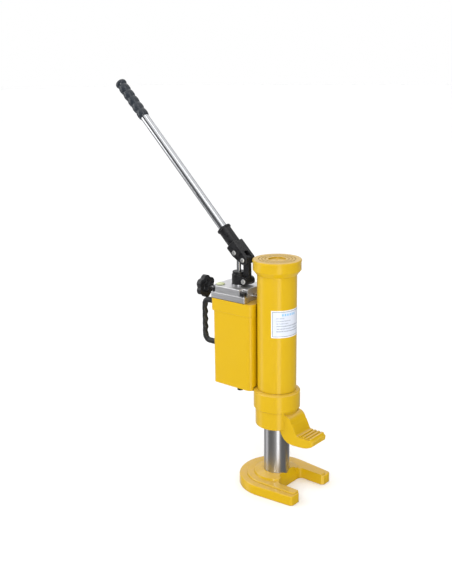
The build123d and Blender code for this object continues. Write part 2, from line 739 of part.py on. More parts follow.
# ================================================================ hand pump
barrel_z = cover_top + barrel_ring_h
barrel_top = barrel_z + barrel_h + barrel_neck_h
seal_h = 5.0
with BuildPart() as pump_barrel:
    with BuildSketch(Plane(origin=(plunger_x, 0, barrel_z))):
        Circle(barrel_r)
    extrude(amount=barrel_h)
    chamfer(pump_barrel.edges().group_by(Axis.Z)[-1], length=1.2)
    with BuildSketch(Plane(origin=(plunger_x, 0, barrel_z + barrel_h))):
        Circle(barrel_r - 1.8)
    extrude(amount=barrel_neck_h)
    chamfer(pump_barrel.edges().group_by(Axis.Z)[-1], length=1.0)
    with BuildSketch(Plane(origin=(plunger_x, 0, thread_z))):
        Circle(barrel_thread_d / 2)
    extrude(amount=barrel_z - thread_z)
    for side in (-1, 1):
        with BuildSketch(Plane.XZ.offset(-side * ear_in if side > 0 else ear_in)) as ear:
            with Locations((link_x, link_z)):
                Circle(ear_r)
            with Locations((plunger_x + 4, barrel_z + 12)):
                Circle(11.5)
            make_hull()
        extrude(amount=-(ear_out - ear_in) if side > 0 else ear_out - ear_in)
    with BuildSketch(Plane.XZ):
        with Locations((link_x, link_z)):
            Circle(link_eye_r + 1.2)
    extrude(amount=ear_in, both=True, mode=Mode.SUBTRACT)
    with BuildSketch(Plane.XZ):
        with Locations((link_x, link_z)):
            Circle(link_pin_d / 2)
    extrude(amount=ear_out + 1, both=True, mode=Mode.SUBTRACT)
    with BuildSketch(Plane(origin=(plunger_x, 0, thread_z))):
        Circle(plunger_d / 2 + RUN)
    extrude(amount=barrel_top - thread_z, mode=Mode.SUBTRACT)
    with BuildSketch(Plane(origin=(plunger_x, 0, barrel_top - 2 - seal_h))):
        Circle(plunger_d / 2 + 4)
    extrude(amount=seal_h, mode=Mode.SUBTRACT)
export(pump_barrel.part, "pump_barrel")
ring("pump_seal", plunger_d / 2 + 4, plunger_d / 2 + RUN, barrel_top - 2 - seal_h, seal_h, at=(plunger_x, 0))
ring("barrel_ring", barrel_r + 1.2, barrel_thread_d / 2, cover_top, barrel_ring_h, at=(plunger_x, 0))


def cross_pin(name, x, z, diameter, half):
    """Write a round pin along Y with chamfered ends."""
    with BuildPart() as pin:
        with BuildSketch(Plane.XZ):
            with Locations((x, z)):
                Circle(diameter / 2)
        extrude(amount=half, both=True)
        chamfer(pin.edges().filter_by(GeomType.CIRCLE), length=0.9)
    export(pin.part, name)


def pin_clips(name, places, half, plate_half):
    """Write the spring clips that hold cross pins, one outside each plate."""
    with BuildPart() as clips:
        for x, z, diameter in places:
            for side in (-1, 1):
                with BuildSketch(Plane.XZ.offset(-side * plate_half)):
                    with Locations((x, z)):
                        Circle(diameter / 2 + 2.0)
                        Circle(diameter / 2, mode=Mode.SUBTRACT)
                        with Locations((0, -diameter / 2)):
                            Rectangle(diameter * 0.45, 6, mode=Mode.SUBTRACT)
                extrude(amount=-side * 1.2)
    export(clips.part, name)


clip_room = 3.6
pin_x, pin_z = plunger_x, fulcrum_z + pin_dz
cross_pin("link_pin", link_x, link_z, link_pin_d, ear_out + clip_room)
cross_pin("fulcrum_pin", fulcrum_x, fulcrum_z, fork_pin_d, fork_half + clip_room)
cross_pin("plunger_pin", pin_x, pin_z, fork_pin_d, fork_half + clip_room)
pin_clips("link_pin_clips", [(link_x, link_z, link_pin_d)], ear_out + clip_room, ear_out)
pin_clips("fork_pin_clips", [(fulcrum_x, fulcrum_z, fork_pin_d), (pin_x, pin_z, fork_pin_d)],
          fork_half + clip_room, fork_half)

with BuildPart() as fulcrum_link:
    with BuildSketch(Plane.XZ):
        with Locations((link_x, link_z), (fulcrum_x, fulcrum_z)):
            Circle(link_w / 2)
        make_hull()
    extrude(amount=link_t / 2, both=True)
    with BuildSketch(Plane.XZ):
        with Locations((link_x, link_z), (fulcrum_x, fulcrum_z)):
            Circle(link_eye_r)
    extrude(amount=eye_half, both=True)
    for x, z, diameter in ((link_x, link_z, link_pin_d), (fulcrum_x, fulcrum_z, fork_pin_d)):
        with BuildSketch(Plane.XZ):
            with Locations((x, z)):
                Circle(diameter / 2 + PIN)
        extrude(amount=eye_half, both=True, mode=Mode.SUBTRACT)
export(fulcrum_link.part, "fulcrum_link")

rod_low = thread_z + 21.5
head_neck_z = pin_z - head_eye_r - 9.0
with BuildPart() as plunger:
    with BuildSketch(Plane(origin=(plunger_x, 0, rod_low))):
        Circle(plunger_d / 2)
    extrude(amount=head_neck_z + 6 - rod_low)
    chamfer(plunger.edges().group_by(Axis.Z)[0], length=0.8)
export(plunger.part, "plunger")

with BuildPart() as plunger_head:
    with BuildSketch(Plane(origin=(plunger_x, 0, head_neck_z))):
        Circle(head_neck_r)
    extrude(amount=pin_z - head_neck_z)
    with BuildSketch(Plane.XZ):
        with Locations((plunger_x + head_hole_shift, pin_z)):
            Circle(head_eye_r)
    extrude(amount=eye_half, both=True)
    with BuildSketch(Plane.XZ):
        with Locations((plunger_x + head_hole_shift, pin_z)):
            Circle(head_hole_r)
    extrude(amount=eye_half + 1, both=True, mode=Mode.SUBTRACT)
    with BuildSketch(Plane(origin=(plunger_x, 0, head_neck_z))):
        Circle(plunger_d / 2)
    extrude(amount=6, mode=Mode.SUBTRACT)
export(plunger_head.part, "plunger_head")

# ================================================================ lever and handle
with BuildPart() as lever_fork:
    with BuildSketch(UV):
        with Locations(uv(0, 0)):
            Circle(boss_r)
        with Locations(uv(pin_u, pin_v)):
            Circle(fork_w / 2 + fork_shift)
        with Locations(uv(fork_top - 3, fork_shift - fork_w / 2 + 3), uv(fork_top - 3, fork_shift + fork_w / 2 - 3)):
            Circle(3)
        make_hull()
    extrude(amount=fork_half, both=True)
    chamfer(lever_fork.edges().filter_by(
        lambda e: abs(abs(e.center().Y) - fork_half) < 0.01), length=1.2)
    # pocket for the plunger head and the link, closed towards the front at its top
    with BuildSketch(UV):
        with Locations(uv(window_u - 60, 0)):
            Rectangle(120, 90)
        with Locations(uv(pocket_top / 2, fork_shift + fork_w / 2 - fork_wall - 40)):
            Rectangle(pocket_top, 80)
    extrude(amount=eye_half + GAP, both=True, mode=Mode.SUBTRACT)
    with BuildSketch(UV):
        with Locations(uv(0, 0), uv(pin_u, pin_v)):
            Circle(fork_pin_d / 2)
    extrude(amount=fork_half + 1, both=True, mode=Mode.SUBTRACT)
    AXIS_UV = Plane(origin=UV.from_local_coords((socket_floor, fork_shift * V_SIGN, 0)), z_dir=UV.x_dir)
    with BuildSketch(AXIS_UV):
        Circle(tube_bar_d / 2 + RUN)
    extrude(amount=fork_top, mode=Mode.SUBTRACT)
export(lever_fork.part, "lever_fork")


def on_handle(u):
    """Plane square to the handle at distance u from the fulcrum."""
    return Plane(origin=UV.from_local_coords((u, fork_shift * V_SIGN, 0)), z_dir=UV.x_dir)


with BuildPart() as handle_socket:
    with BuildSketch(on_handle(fork_top)):
        Circle(socket_d / 2)
    extrude(amount=socket_len)
    with BuildSketch(on_handle(fork_top + socket_len)):
        Circle(flange_d / 2)
    extrude(amount=flange_t)
    with BuildSketch(on_handle(fork_top)):
        Circle(tube_bar_d / 2 + RUN)
    extrude(amount=socket_len + flange_t, mode=Mode.SUBTRACT)
export(handle_socket.part, "handle_socket")

with BuildPart() as handle_bar:
    with BuildSketch(on_handle(socket_floor + 1)):
        Circle(tube_bar_d / 2)
        Circle(tube_bar_d / 2 - tube_bar_wall, mode=Mode.SUBTRACT)
    extrude(amount=bar_end - socket_floor - 1)
export(handle_bar.part, "handle_bar")

GRIP_PLANE = Plane(origin=on_handle(grip_start).origin, x_dir=(0, 1, 0), z_dir=UV.y_dir)
grip_len = grip_bumps * grip_pitch
with BuildPart() as handle_grip:
    with BuildSketch(GRIP_PLANE) as grip_side:
        along = 1 if GRIP_PLANE.y_dir.dot(UV.x_dir) > 0 else -1
        inner = tube_bar_d / 2
        with BuildLine():
            waves = [(grip_waist_r if i % 2 == 0 else grip_bump_r, along * i * grip_pitch / 2)
                     for i in range(2 * grip_bumps + 1)]
            Spline(*waves, (grip_knob_r, along * (grip_len + 9)), tangents=((0.2, along), (0, along)))
            TangentArc((0, along * (grip_len + 20)), (grip_knob_r, along * (grip_len + 9)), tangent=(1, 0))
            Polyline((0, along * (grip_len + 20)), (0, along * (bar_end - grip_start)),
                     (inner, along * (bar_end - grip_start)), (inner, 0), (grip_waist_r, 0))
        make_face()
    revolve(axis=Axis(on_handle(grip_start).origin, UV.x_dir))
export(handle_grip.part, "handle_grip")

# ================================================================ release valve
spindle_end = cover_back + spindle_in - 0.5
with BuildPart() as valve_spindle:
    with BuildSketch(Plane.YZ.offset(knob_x + knob_t / 2 - 4)):
        with Locations((valve_y, valve_z)):
            Circle(spindle_d / 2)
    extrude(amount=spindle_end - ball_d - knob_x - knob_t / 2 + 4)
    chamfer(valve_spindle.edges().group_by(Axis.X)[-1], length=1.5)
export(valve_spindle.part, "valve_spindle")

with BuildPart() as release_knob:
    with BuildSketch(Plane.YZ.offset(knob_x - knob_t / 2)):
        with Locations((valve_y, valve_z)):
            Circle(knob_r * 0.76)
            with PolarLocations(knob_r - 9.0, lobes, start_angle=90):
                Circle(9.0)
    extrude(amount=knob_t)
    fillet(release_knob.edges().group_by(Axis.X)[0], radius=2.5)
    fillet(release_knob.edges().group_by(Axis.X)[-1], radius=2.5)
    with BuildSketch(Plane.YZ.offset(knob_x + knob_t / 2)):
        with Locations((valve_y, valve_z)):
            Circle(12)
    extrude(amount=knob_hub, taper=8)
    with BuildSketch(Plane.YZ.offset(knob_x + knob_t / 2 - 4)):
        with Locations((valve_y, valve_z)):
            Circle(spindle_d / 2)
    extrude(amount=knob_hub + 5, mode=Mode.SUBTRACT)
export(release_knob.part, "release_knob")

with BuildPart() as valve_gland_nut:
    with BuildSketch(Plane.YZ.offset(cover_back - gland_nut_h)):
        with Locations((valve_y, valve_z)):
            RegularPolygon(gland_nut_af / 2, 6, major_radius=False)
    extrude(amount=gland_nut_h)
    with BuildSketch(Plane.YZ.offset(cover_back)):
        with Locations((valve_y, valve_z)):
            Circle(6.0)
    extrude(amount=6.0)
    with BuildSketch(Plane.YZ.offset(cover_back - gland_nut_h)):
        with Locations((valve_y, valve_z)):
            Circle(spindle_d / 2 + RUN)
    extrude(amount=gland_nut_h + 6.0, mode=Mode.SUBTRACT)
export(valve_gland_nut.part, "valve_gland_nut")

with BuildPart() as spindle_seal:
    with BuildSketch(Plane.YZ.offset(cover_back + 6.0)):
        with Locations((valve_y, valve_z)):
            Circle(6.0)
            Circle(spindle_d / 2 + RUN, mode=Mode.SUBTRACT)
    extrude(amount=3.0)
export(spindle_seal.part, "spindle_seal")
ball("release_ball", (spindle_end - ball_d / 2, valve_y, valve_z), ball_d)

# ================================================================ carry handle
grab_x = tank_back - grab_out
grab_low = grab_top - grab_h
with BuildPart() as carry_handle:
    with BuildSketch(Plane.XZ):
        with BuildLine():
            FilletPolyline((tank_back, grab_top), (grab_x, grab_top), (grab_x, grab_low),
                           (tank_back, grab_low), radius=22)
            Line((tank_back, grab_low), (tank_back, grab_low + grab_bar))
            FilletPolyline((tank_back, grab_low + grab_bar), (grab_x + grab_bar, grab_low + grab_bar),
                           (grab_x + grab_bar, grab_top - grab_bar), (tank_back, grab_top - grab_bar), radius=9)
            Line((tank_back, grab_top - grab_bar), (tank_back, grab_top))
        make_face()
        with Locations((tank_back - rail_t / 2, tank_top - rail_h / 2)):
            Rectangle(rail_t, rail_h, mode=Mode.SUBTRACT)
        wave_mid = (grab_top + grab_low) / 2
        with Locations(*[(grab_x + grab_bar + 8.5, wave_mid + (i - (grab_waves - 1) / 2) * grab_pitch)
                         for i in range(grab_waves)]):
            Circle(11.5, mode=Mode.SUBTRACT)
    extrude(amount=grab_bar / 2, both=True)
    for z in grab_screw_zs:
        with BuildSketch(Plane.YZ.offset(tank_back)):
            with Locations((0, z)):
                Circle(3.0)
        extrude(amount=-grab_screw_in - 1, mode=Mode.SUBTRACT)
export(carry_handle.part, "carry_handle")

with BuildPart() as carry_handle_screws:
    for z in grab_screw_zs:
        with BuildSketch(Plane.YZ.offset(tank_back - grab_screw_in)):
            with Locations((0, z)):
                Circle(3.0)
        extrude(amount=grab_screw_in + tank_wall)
        with BuildSketch(Plane.YZ.offset(tank_back + tank_wall)):
            with Locations((0, z)):
                RegularPolygon(6.0, 6)
        extrude(amount=4.0)
export(carry_handle_screws.part, "carry_handle_screws")
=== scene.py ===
"""Finish of a hydraulic toe jack: enamelled castings, a ground ram, a milled pump block and a chromed lever.

Each sub-assembly is a class whose fields are its sizes in metres. Its `build` method makes and dresses
the pieces. The frame is the part's own: +Z up along the ram, +X out along the claw, origin on the floor.
"""
import json
import logging
import math
from dataclasses import dataclass, field
from enum import Enum
from typing import Callable, Iterable, Sequence

import bpy
from mathutils import Matrix, Vector

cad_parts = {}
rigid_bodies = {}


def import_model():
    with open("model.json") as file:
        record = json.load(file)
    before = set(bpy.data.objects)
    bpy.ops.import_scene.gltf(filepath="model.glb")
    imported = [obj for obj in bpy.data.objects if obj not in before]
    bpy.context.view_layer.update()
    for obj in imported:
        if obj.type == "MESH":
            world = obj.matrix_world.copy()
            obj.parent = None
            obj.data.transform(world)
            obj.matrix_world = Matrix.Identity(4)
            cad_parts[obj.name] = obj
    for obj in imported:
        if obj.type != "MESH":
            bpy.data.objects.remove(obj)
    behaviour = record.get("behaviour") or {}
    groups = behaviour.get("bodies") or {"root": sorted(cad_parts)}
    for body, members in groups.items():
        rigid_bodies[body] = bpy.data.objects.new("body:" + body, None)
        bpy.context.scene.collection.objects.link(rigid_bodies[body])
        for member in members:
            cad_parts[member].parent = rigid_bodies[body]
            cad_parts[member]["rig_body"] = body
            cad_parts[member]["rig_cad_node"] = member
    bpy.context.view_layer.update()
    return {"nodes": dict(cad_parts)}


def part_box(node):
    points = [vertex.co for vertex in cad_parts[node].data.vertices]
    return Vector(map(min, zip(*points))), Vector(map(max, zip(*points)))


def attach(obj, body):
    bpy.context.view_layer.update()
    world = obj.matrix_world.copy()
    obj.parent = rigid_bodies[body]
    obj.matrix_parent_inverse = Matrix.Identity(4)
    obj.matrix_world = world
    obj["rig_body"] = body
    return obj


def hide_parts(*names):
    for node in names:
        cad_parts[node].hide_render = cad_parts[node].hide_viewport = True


LOG = logging.getLogger("jack")
SMOOTH_DEG = 32.0
Colour = tuple[float, float, float]

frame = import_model()


# ------------------------------------------------------------------ shader graph
class Graph:
    """A node material being wired up."""

    def __init__(self, name: str) -> None:
        """Start an empty material.

        Args:
            name: the material's name.
        """
        self.material = bpy.data.materials.new(name)
        self.material.use_nodes = True
        self.nodes = self.material.node_tree.nodes
        self.links = self.material.node_tree.links
        self.nodes.clear()
        self.surface = self.add("ShaderNodeBsdfPrincipled")
        self.add("ShaderNodeOutputMaterial", Surface=self.surface.outputs[0])
        self.place = self.add("ShaderNodeTexCoord").outputs["Object"]

    def add(self, kind: str, settings: dict | None = None, **sockets: object) -> bpy.types.Node:
        """Add a node and fill its sockets.

        Args:
            kind: the node's type name.
            settings: attributes set on the node itself.
            **sockets: socket name (underscores for spaces) to a value or an output socket.

        Returns:
            The new node.
        """
        node = self.nodes.new(kind)
        for key, value in (settings or {}).items():
            setattr(node, key, value)
        for key, value in sockets.items():
            self.put(node, key.replace("_", " "), value)
        return node

    def put(self, node: bpy.types.Node, socket: str | int, value: object) -> None:
        """Link or set one input socket.

        Args:
            node: the node whose input is set.
            socket: the input's name or number.
            value: an output socket to link, or a plain value.
        """
        target = node.inputs[socket]
        if isinstance(value, bpy.types.NodeSocket):
            self.links.new(value, target)
        elif isinstance(value, tuple) and len(value) == 3 and target.type == "RGBA":
            target.default_value = (*value, 1.0)
        else:
            target.default_value = value

    def noise(self, scale: float, detail: float = 3.0, stretch: Sequence[float] = (1, 1, 1),
              turn: Sequence[float] = (0, 0, 0), rough: float = 0.5) -> bpy.types.NodeSocket:
        """Fractal noise on object coordinates.

        Args:
            scale: blobs per metre.
            detail: octaves.
            stretch: factor on each axis.
            turn: rotation of the pattern in degrees.
            rough: how strong the small octaves are.

        Returns:
            The noise value, centred on 0.5.
        """
        mapped = self.add("ShaderNodeMapping", Vector=self.place, Scale=tuple(stretch),
                          Rotation=tuple(math.radians(a) for a in turn))
        return self.add("ShaderNodeTexNoise", Vector=mapped.outputs[0], Scale=scale, Detail=detail,
                        Roughness=rough).outputs[0]

    def span(self, value: bpy.types.NodeSocket, low: float, high: float, to_low: float = 0.0,
             to_high: float = 1.0) -> bpy.types.NodeSocket:
        """Map a value's range onto another one, clamped."""
        node = self.add("ShaderNodeMapRange", Value=value)
        for number, bound in enumerate((low, high, to_low, to_high), start=1):
            node.inputs[number].default_value = bound
        return node.outputs[0]

    def maths(self, operation: str, first: object, second: object = 0.0) -> bpy.types.NodeSocket:
        """One arithmetic step on two values or sockets."""
        node = self.add("ShaderNodeMath", {"operation": operation})
        self.put(node, 0, first)
        self.put(node, 1, second)
        return node.outputs[0]

    def blend(self, amount: object, first: object, second: object) -> bpy.types.NodeSocket:
        """Mix two colours by an amount between 0 and 1."""
        node = self.add("ShaderNodeMix", {"data_type": "RGBA"})
        self.put(node, 0, amount)
        self.put(node, 6, first)
        self.put(node, 7, second)
        return node.outputs[2]

    def bump(self, height: bpy.types.NodeSocket, depth: float, normal: object = None) -> bpy.types.NodeSocket:
        """Bump of the given depth in metres.

        Args:
            height: the height value.
            depth: metres between height 0 and 1.
            normal: a normal socket to build on, or None.

        Returns:
            The disturbed normal.
        """
        node = self.add("ShaderNodeBump", Height=height, Distance=depth, Strength=1.0)
        if normal is not None:
            self.put(node, "Normal", normal)
        return node.outputs[0]

    def soft_edges(self, radius: float) -> bpy.types.NodeSocket:
        """Normals rounded over the edges by a radius in metres."""
        return self.add("ShaderNodeBevel", {"samples": 6}, Radius=radius).outputs[0]

    def edge_mask(self, radius: float) -> bpy.types.NodeSocket:
        """Value that rises from 0 on flats to 1 on sharp outer edges."""
        rounded = self.soft_edges(radius)
        flat = self.add("ShaderNodeNewGeometry").outputs["Normal"]
        dot = self.add("ShaderNodeVectorMath", {"operation": "DOT_PRODUCT"})
        self.put(dot, 0, rounded)
        self.put(dot, 1, flat)
        return self.span(dot.outputs["Value"], 0.995, 0.80)

    def crevices(self, reach: float) -> bpy.types.NodeSocket:
        """Value that rises from 0 in the open to 1 in grooves and seams, within a reach in metres."""
        open_air = self.add("ShaderNodeAmbientOcclusion", {"samples": 8}, Distance=reach).outputs["AO"]
        return self.span(open_air, 0.80, 0.35)

    def facing_up(self) -> bpy.types.NodeSocket:
        """Value that is 1 on level tops and 0 on walls."""
        normal = self.add("ShaderNodeNewGeometry").outputs["Normal"]
        return self.span(self.add("ShaderNodeSeparateXYZ", Vector=normal).outputs[2], 0.55, 0.95)


# ------------------------------------------------------------------ finishes
@dataclass(frozen=True)
class Enamel:
    """Gloss enamel over a casting or a plate."""

    name: str
    colour: Colour
    shade: Colour = (0.60, 0.345, 0.003)
    # tan laid on level tops: dust together with a painted sheen
    dust_and_sheen: Colour = (0.60, 0.39, 0.24)
    rubbed: Colour = (0.80, 0.56, 0.06)
    # colour of the painted shade darkened into grooves and seams
    crevice_shade: Colour = (0.20, 0.095, 0.008)
    groove: float = 0.004
    peel: float = 0.000022
    cast: float = 0.0
    soft: float = 0.0012

    def make(self) -> bpy.types.Material:
        """Wire up the enamel with tone drift, dust with a painted sheen on level tops, painted shade in the
        grooves, peel and worn edges.
        """
        g = Graph(self.name)
        tone = g.blend(g.span(g.noise(9.0, 4.0), 0.35, 0.72), self.colour, self.shade)
        tone = g.blend(g.maths("MULTIPLY", g.span(g.noise(14.0, 2.0), 0.3, 0.7), 0.16), self.colour, tone)
        # painted sheen of reflected light on level tops, mixed with dust
        dust_and_sheen_mask = g.maths("MULTIPLY", g.facing_up(), g.span(g.noise(60.0, 5.0), 0.25, 0.75, 0.10, 0.30))
        tone = g.blend(dust_and_sheen_mask, tone, self.dust_and_sheen)
        patches = g.span(g.noise(120.0, 5.0), 0.42, 0.66, 0.0, 0.55)
        worn = g.maths("MULTIPLY", g.edge_mask(self.soft * 1.3), patches)
        tone = g.blend(worn, tone, self.rubbed)
        # painted shade: darker in grooves and seams, from the occlusion mask
        tone = g.blend(g.maths("MULTIPLY", g.crevices(self.groove), 0.75), tone, self.crevice_shade)
        g.put(g.surface, "Base Color", tone)
        g.put(g.surface, "Roughness", g.span(g.noise(35.0, 4.0), 0.3, 0.7, 0.30, 0.42))
        g.put(g.surface, "Specular IOR Level", 0.20)
        g.put(g.surface, "Coat Weight", 0.50)
        g.put(g.surface, "Coat Roughness", 0.05)
        normal = g.bump(g.noise(650.0, 2.0), self.peel, g.soft_edges(self.soft))
        if self.cast:
            normal = g.bump(g.noise(70.0, 4.0), self.cast, normal)
        g.put(g.surface, "Normal", normal)
        return g.material


@dataclass(frozen=True)
class Machined:
    """Bare metal with tool lines; `lines` stretches them out and `pull` draws its highlights along +Z."""

    name: str
    colour: Colour
    dark: Colour
    lines: tuple[float, float, float] = (1.0, 1.0, 1.0)
    turn: tuple[float, float, float] = (0.0, 0.0, 0.0)
    scale: float = 90.0
    rough_low: float = 0.18
    rough_high: float = 0.34
    depth: float = 0.000012
    stain: float = 0.25
    soft: float = 0.0004
    pull: float = 0.0

    def make(self) -> bpy.types.Material:
        """Wire up the metal with tool lines, faint stains and a painted highlight on its edges."""
        g = Graph(self.name)
        line = g.noise(self.scale, 3.0, self.lines, self.turn, 0.6)
        stains = g.maths("MULTIPLY", g.span(g.noise(28.0, 5.0), 0.46, 0.72), self.stain)
        tone = g.blend(g.span(line, 0.36, 0.66), self.dark, self.colour)
        tone = g.blend(stains, tone, self.dark)
        # painted highlight: a brighter colour along the sharp edges
        bright = tuple(min(1.0, c * 1.25) for c in self.colour)
        tone = g.blend(g.maths("MULTIPLY", g.edge_mask(self.soft * 1.5), 0.7), tone, bright)
        g.put(g.surface, "Base Color", tone)
        g.put(g.surface, "Metallic", 1.0)
        g.put(g.surface, "Roughness", g.span(line, 0.35, 0.7, self.rough_low, self.rough_high))
        if self.pull:
            g.put(g.surface, "Anisotropic", self.pull)
            g.put(g.surface, "Anisotropic Rotation", 0.25)
        g.put(g.surface, "Normal", g.bump(line, self.depth, g.soft_edges(self.soft)))
        return g.material


@dataclass(frozen=True)
class Blackened:
    """Black oxide or black paint on steel, rubbed to metal on its edges."""

    name: str
    colour: Colour = (0.006, 0.006, 0.007)
    sheen: float = 0.34
    soft: float = 0.0007
    mottled: Colour = (0.017, 0.017, 0.019)
    steel: Colour = (0.30, 0.30, 0.31)

    def make(self) -> bpy.types.Material:
        """Wire up the black with mottling, scuffs and rubbed edges."""
        g = Graph(self.name)
        mottle = g.blend(g.span(g.noise(70.0, 5.0), 0.35, 0.7), self.colour, self.mottled)
        patches = g.span(g.noise(160.0, 5.0), 0.40, 0.62, 0.0, 0.6)
        rub = g.maths("MULTIPLY", g.edge_mask(self.soft * 1.4), patches)
        g.put(g.surface, "Base Color", g.blend(rub, mottle, self.steel))
        g.put(g.surface, "Metallic", g.maths("MULTIPLY", rub, 0.8))
        haze = g.span(g.noise(110.0, 4.0), 0.3, 0.72, self.sheen - 0.08, self.sheen + 0.12)
        g.put(g.surface, "Roughness", haze)
        g.put(g.surface, "Specular IOR Level", 0.30)
        g.put(g.surface, "Normal", g.bump(g.noise(500.0, 3.0), 0.00002, g.soft_edges(self.soft)))
        return g.material


@dataclass(frozen=True)
class Moulded:
    """Injection-moulded plastic or rubber."""

    name: str
    colour: Colour
    second: Colour
    gloss: float
    grain: float = 0.00002
    soft: float = 0.0006
    clear: float = 0.0

    def make(self) -> bpy.types.Material:
        """Wire up the plastic with flow marks, fine grain and rubbed crests."""
        g = Graph(self.name)
        tone = g.blend(g.span(g.noise(24.0, 4.0, (1, 1, 0.4)), 0.35, 0.7), self.colour, self.second)
        scuff = g.maths("MULTIPLY", g.span(g.noise(90.0, 6.0, (1, 1, 3)), 0.60, 0.75), 0.35)
        tone = g.blend(scuff, tone, tuple(min(1.0, c * 1.8 + 0.01) for c in self.colour))
        g.put(g.surface, "Base Color", tone)
        g.put(g.surface, "Roughness", g.span(g.noise(60.0, 4.0), 0.3, 0.7, self.gloss, self.gloss + 0.14))
        g.put(g.surface, "Specular IOR Level", 0.34)
        if self.clear:
            g.put(g.surface, "Subsurface Weight", self.clear)
            g.put(g.surface, "Subsurface Radius", (0.004, 0.004, 0.002))
        g.put(g.surface, "Normal", g.bump(g.noise(900.0, 2.0), self.grain, g.soft_edges(self.soft)))
        return g.material


@dataclass(frozen=True)
class PrintedFilm:
    """Rating plate printed on film: a frame, a header band and rows of grey bars."""

    name: str
    low: float
    high: float
    start_deg: float
    width_deg: float
    margin: float = 0.0028
    line: float = 0.0012
    white: Colour = (0.84, 0.85, 0.86)
    tinted: Colour = (0.70, 0.74, 0.83)
    ink: Colour = (0.13, 0.16, 0.22)
    header: Colour = (0.13, 0.48, 0.80)
    row_ink: Colour = (0.17, 0.20, 0.27)
    rows: tuple[tuple[float, float], ...] = (
        (0.24, 0.7), (0.40, 0.8), (0.34, 0.65), (0.74, 0.85), (0.66, 0.8), (0.78, 0.85),
    )

    def make(self) -> bpy.types.Material:
        """Wire up the printed pattern from the angle round the tube and the height on it."""
        g = Graph(self.name)
        xyz = g.add("ShaderNodeSeparateXYZ", Vector=g.place)
        angle = g.maths("ARCTAN2", xyz.outputs[1], xyz.outputs[0])
        start = math.radians(self.start_deg)
        across = g.span(angle, start, start + math.radians(self.width_deg))
        up = g.span(xyz.outputs[2], self.low, self.high)
        width = math.radians(self.width_deg) * 0.05
        edge_x, edge_y = self.margin / width, self.margin / (self.high - self.low)

        def inside(value: bpy.types.NodeSocket, low: float, high: float) -> bpy.types.NodeSocket:
            """1 where the value lies between two bounds."""
            return g.maths("MULTIPLY", g.maths("GREATER_THAN", value, low), g.maths("LESS_THAN", value, high))

        def patch(x0: float, x1: float, y0: float, y1: float) -> bpy.types.NodeSocket:
            """1 inside a rectangle of the plate."""
            return g.maths("MULTIPLY", inside(across, x0, x1), inside(up, y0, y1))

        line_x, line_y = self.line / width, self.line / (self.high - self.low)
        border = g.maths("SUBTRACT", patch(edge_x, 1 - edge_x, edge_y, 1 - edge_y),
                         patch(edge_x + line_x, 1 - edge_x - line_x, edge_y + line_y, 1 - edge_y - line_y))
        tint = patch(edge_x + line_x, 1 - edge_x - line_x, edge_y + line_y, 1 - edge_y - line_y)
        tone = g.blend(tint, self.white, self.tinted)
        tone = g.blend(border, tone, self.ink)
        blocks = g.maths("GREATER_THAN", g.maths("SINE", g.maths("MULTIPLY", across, 92.0)), -0.35)
        band = g.maths("MULTIPLY", patch(0.26, 0.66, 0.80, 0.88), blocks)
        tone = g.blend(g.maths("MULTIPLY", band, 0.85), tone, self.header)
        for row, (length, strength) in enumerate(self.rows):
            y = 0.70 - row * 0.095
            dashes = g.span(g.noise(1.0, 2.0, (900.0, 900.0, 260.0)), 0.36, 0.52)
            bar = g.maths("MULTIPLY", patch(0.13, 0.10 + length, y, y + 0.032), dashes)
            tone = g.blend(g.maths("MULTIPLY", bar, strength), tone, self.row_ink)
        g.put(g.surface, "Base Color", tone)
        g.put(g.surface, "Roughness", g.span(g.noise(40.0, 4.0), 0.3, 0.7, 0.24, 0.36))
        g.put(g.surface, "Coat Weight", 0.35)
        g.put(g.surface, "Coat Roughness", 0.12)
        g.put(g.surface, "Normal", g.bump(g.noise(160.0, 3.0), 0.00004))
        return g.material


YELLOW: Colour = (0.640, 0.400, 0.002)


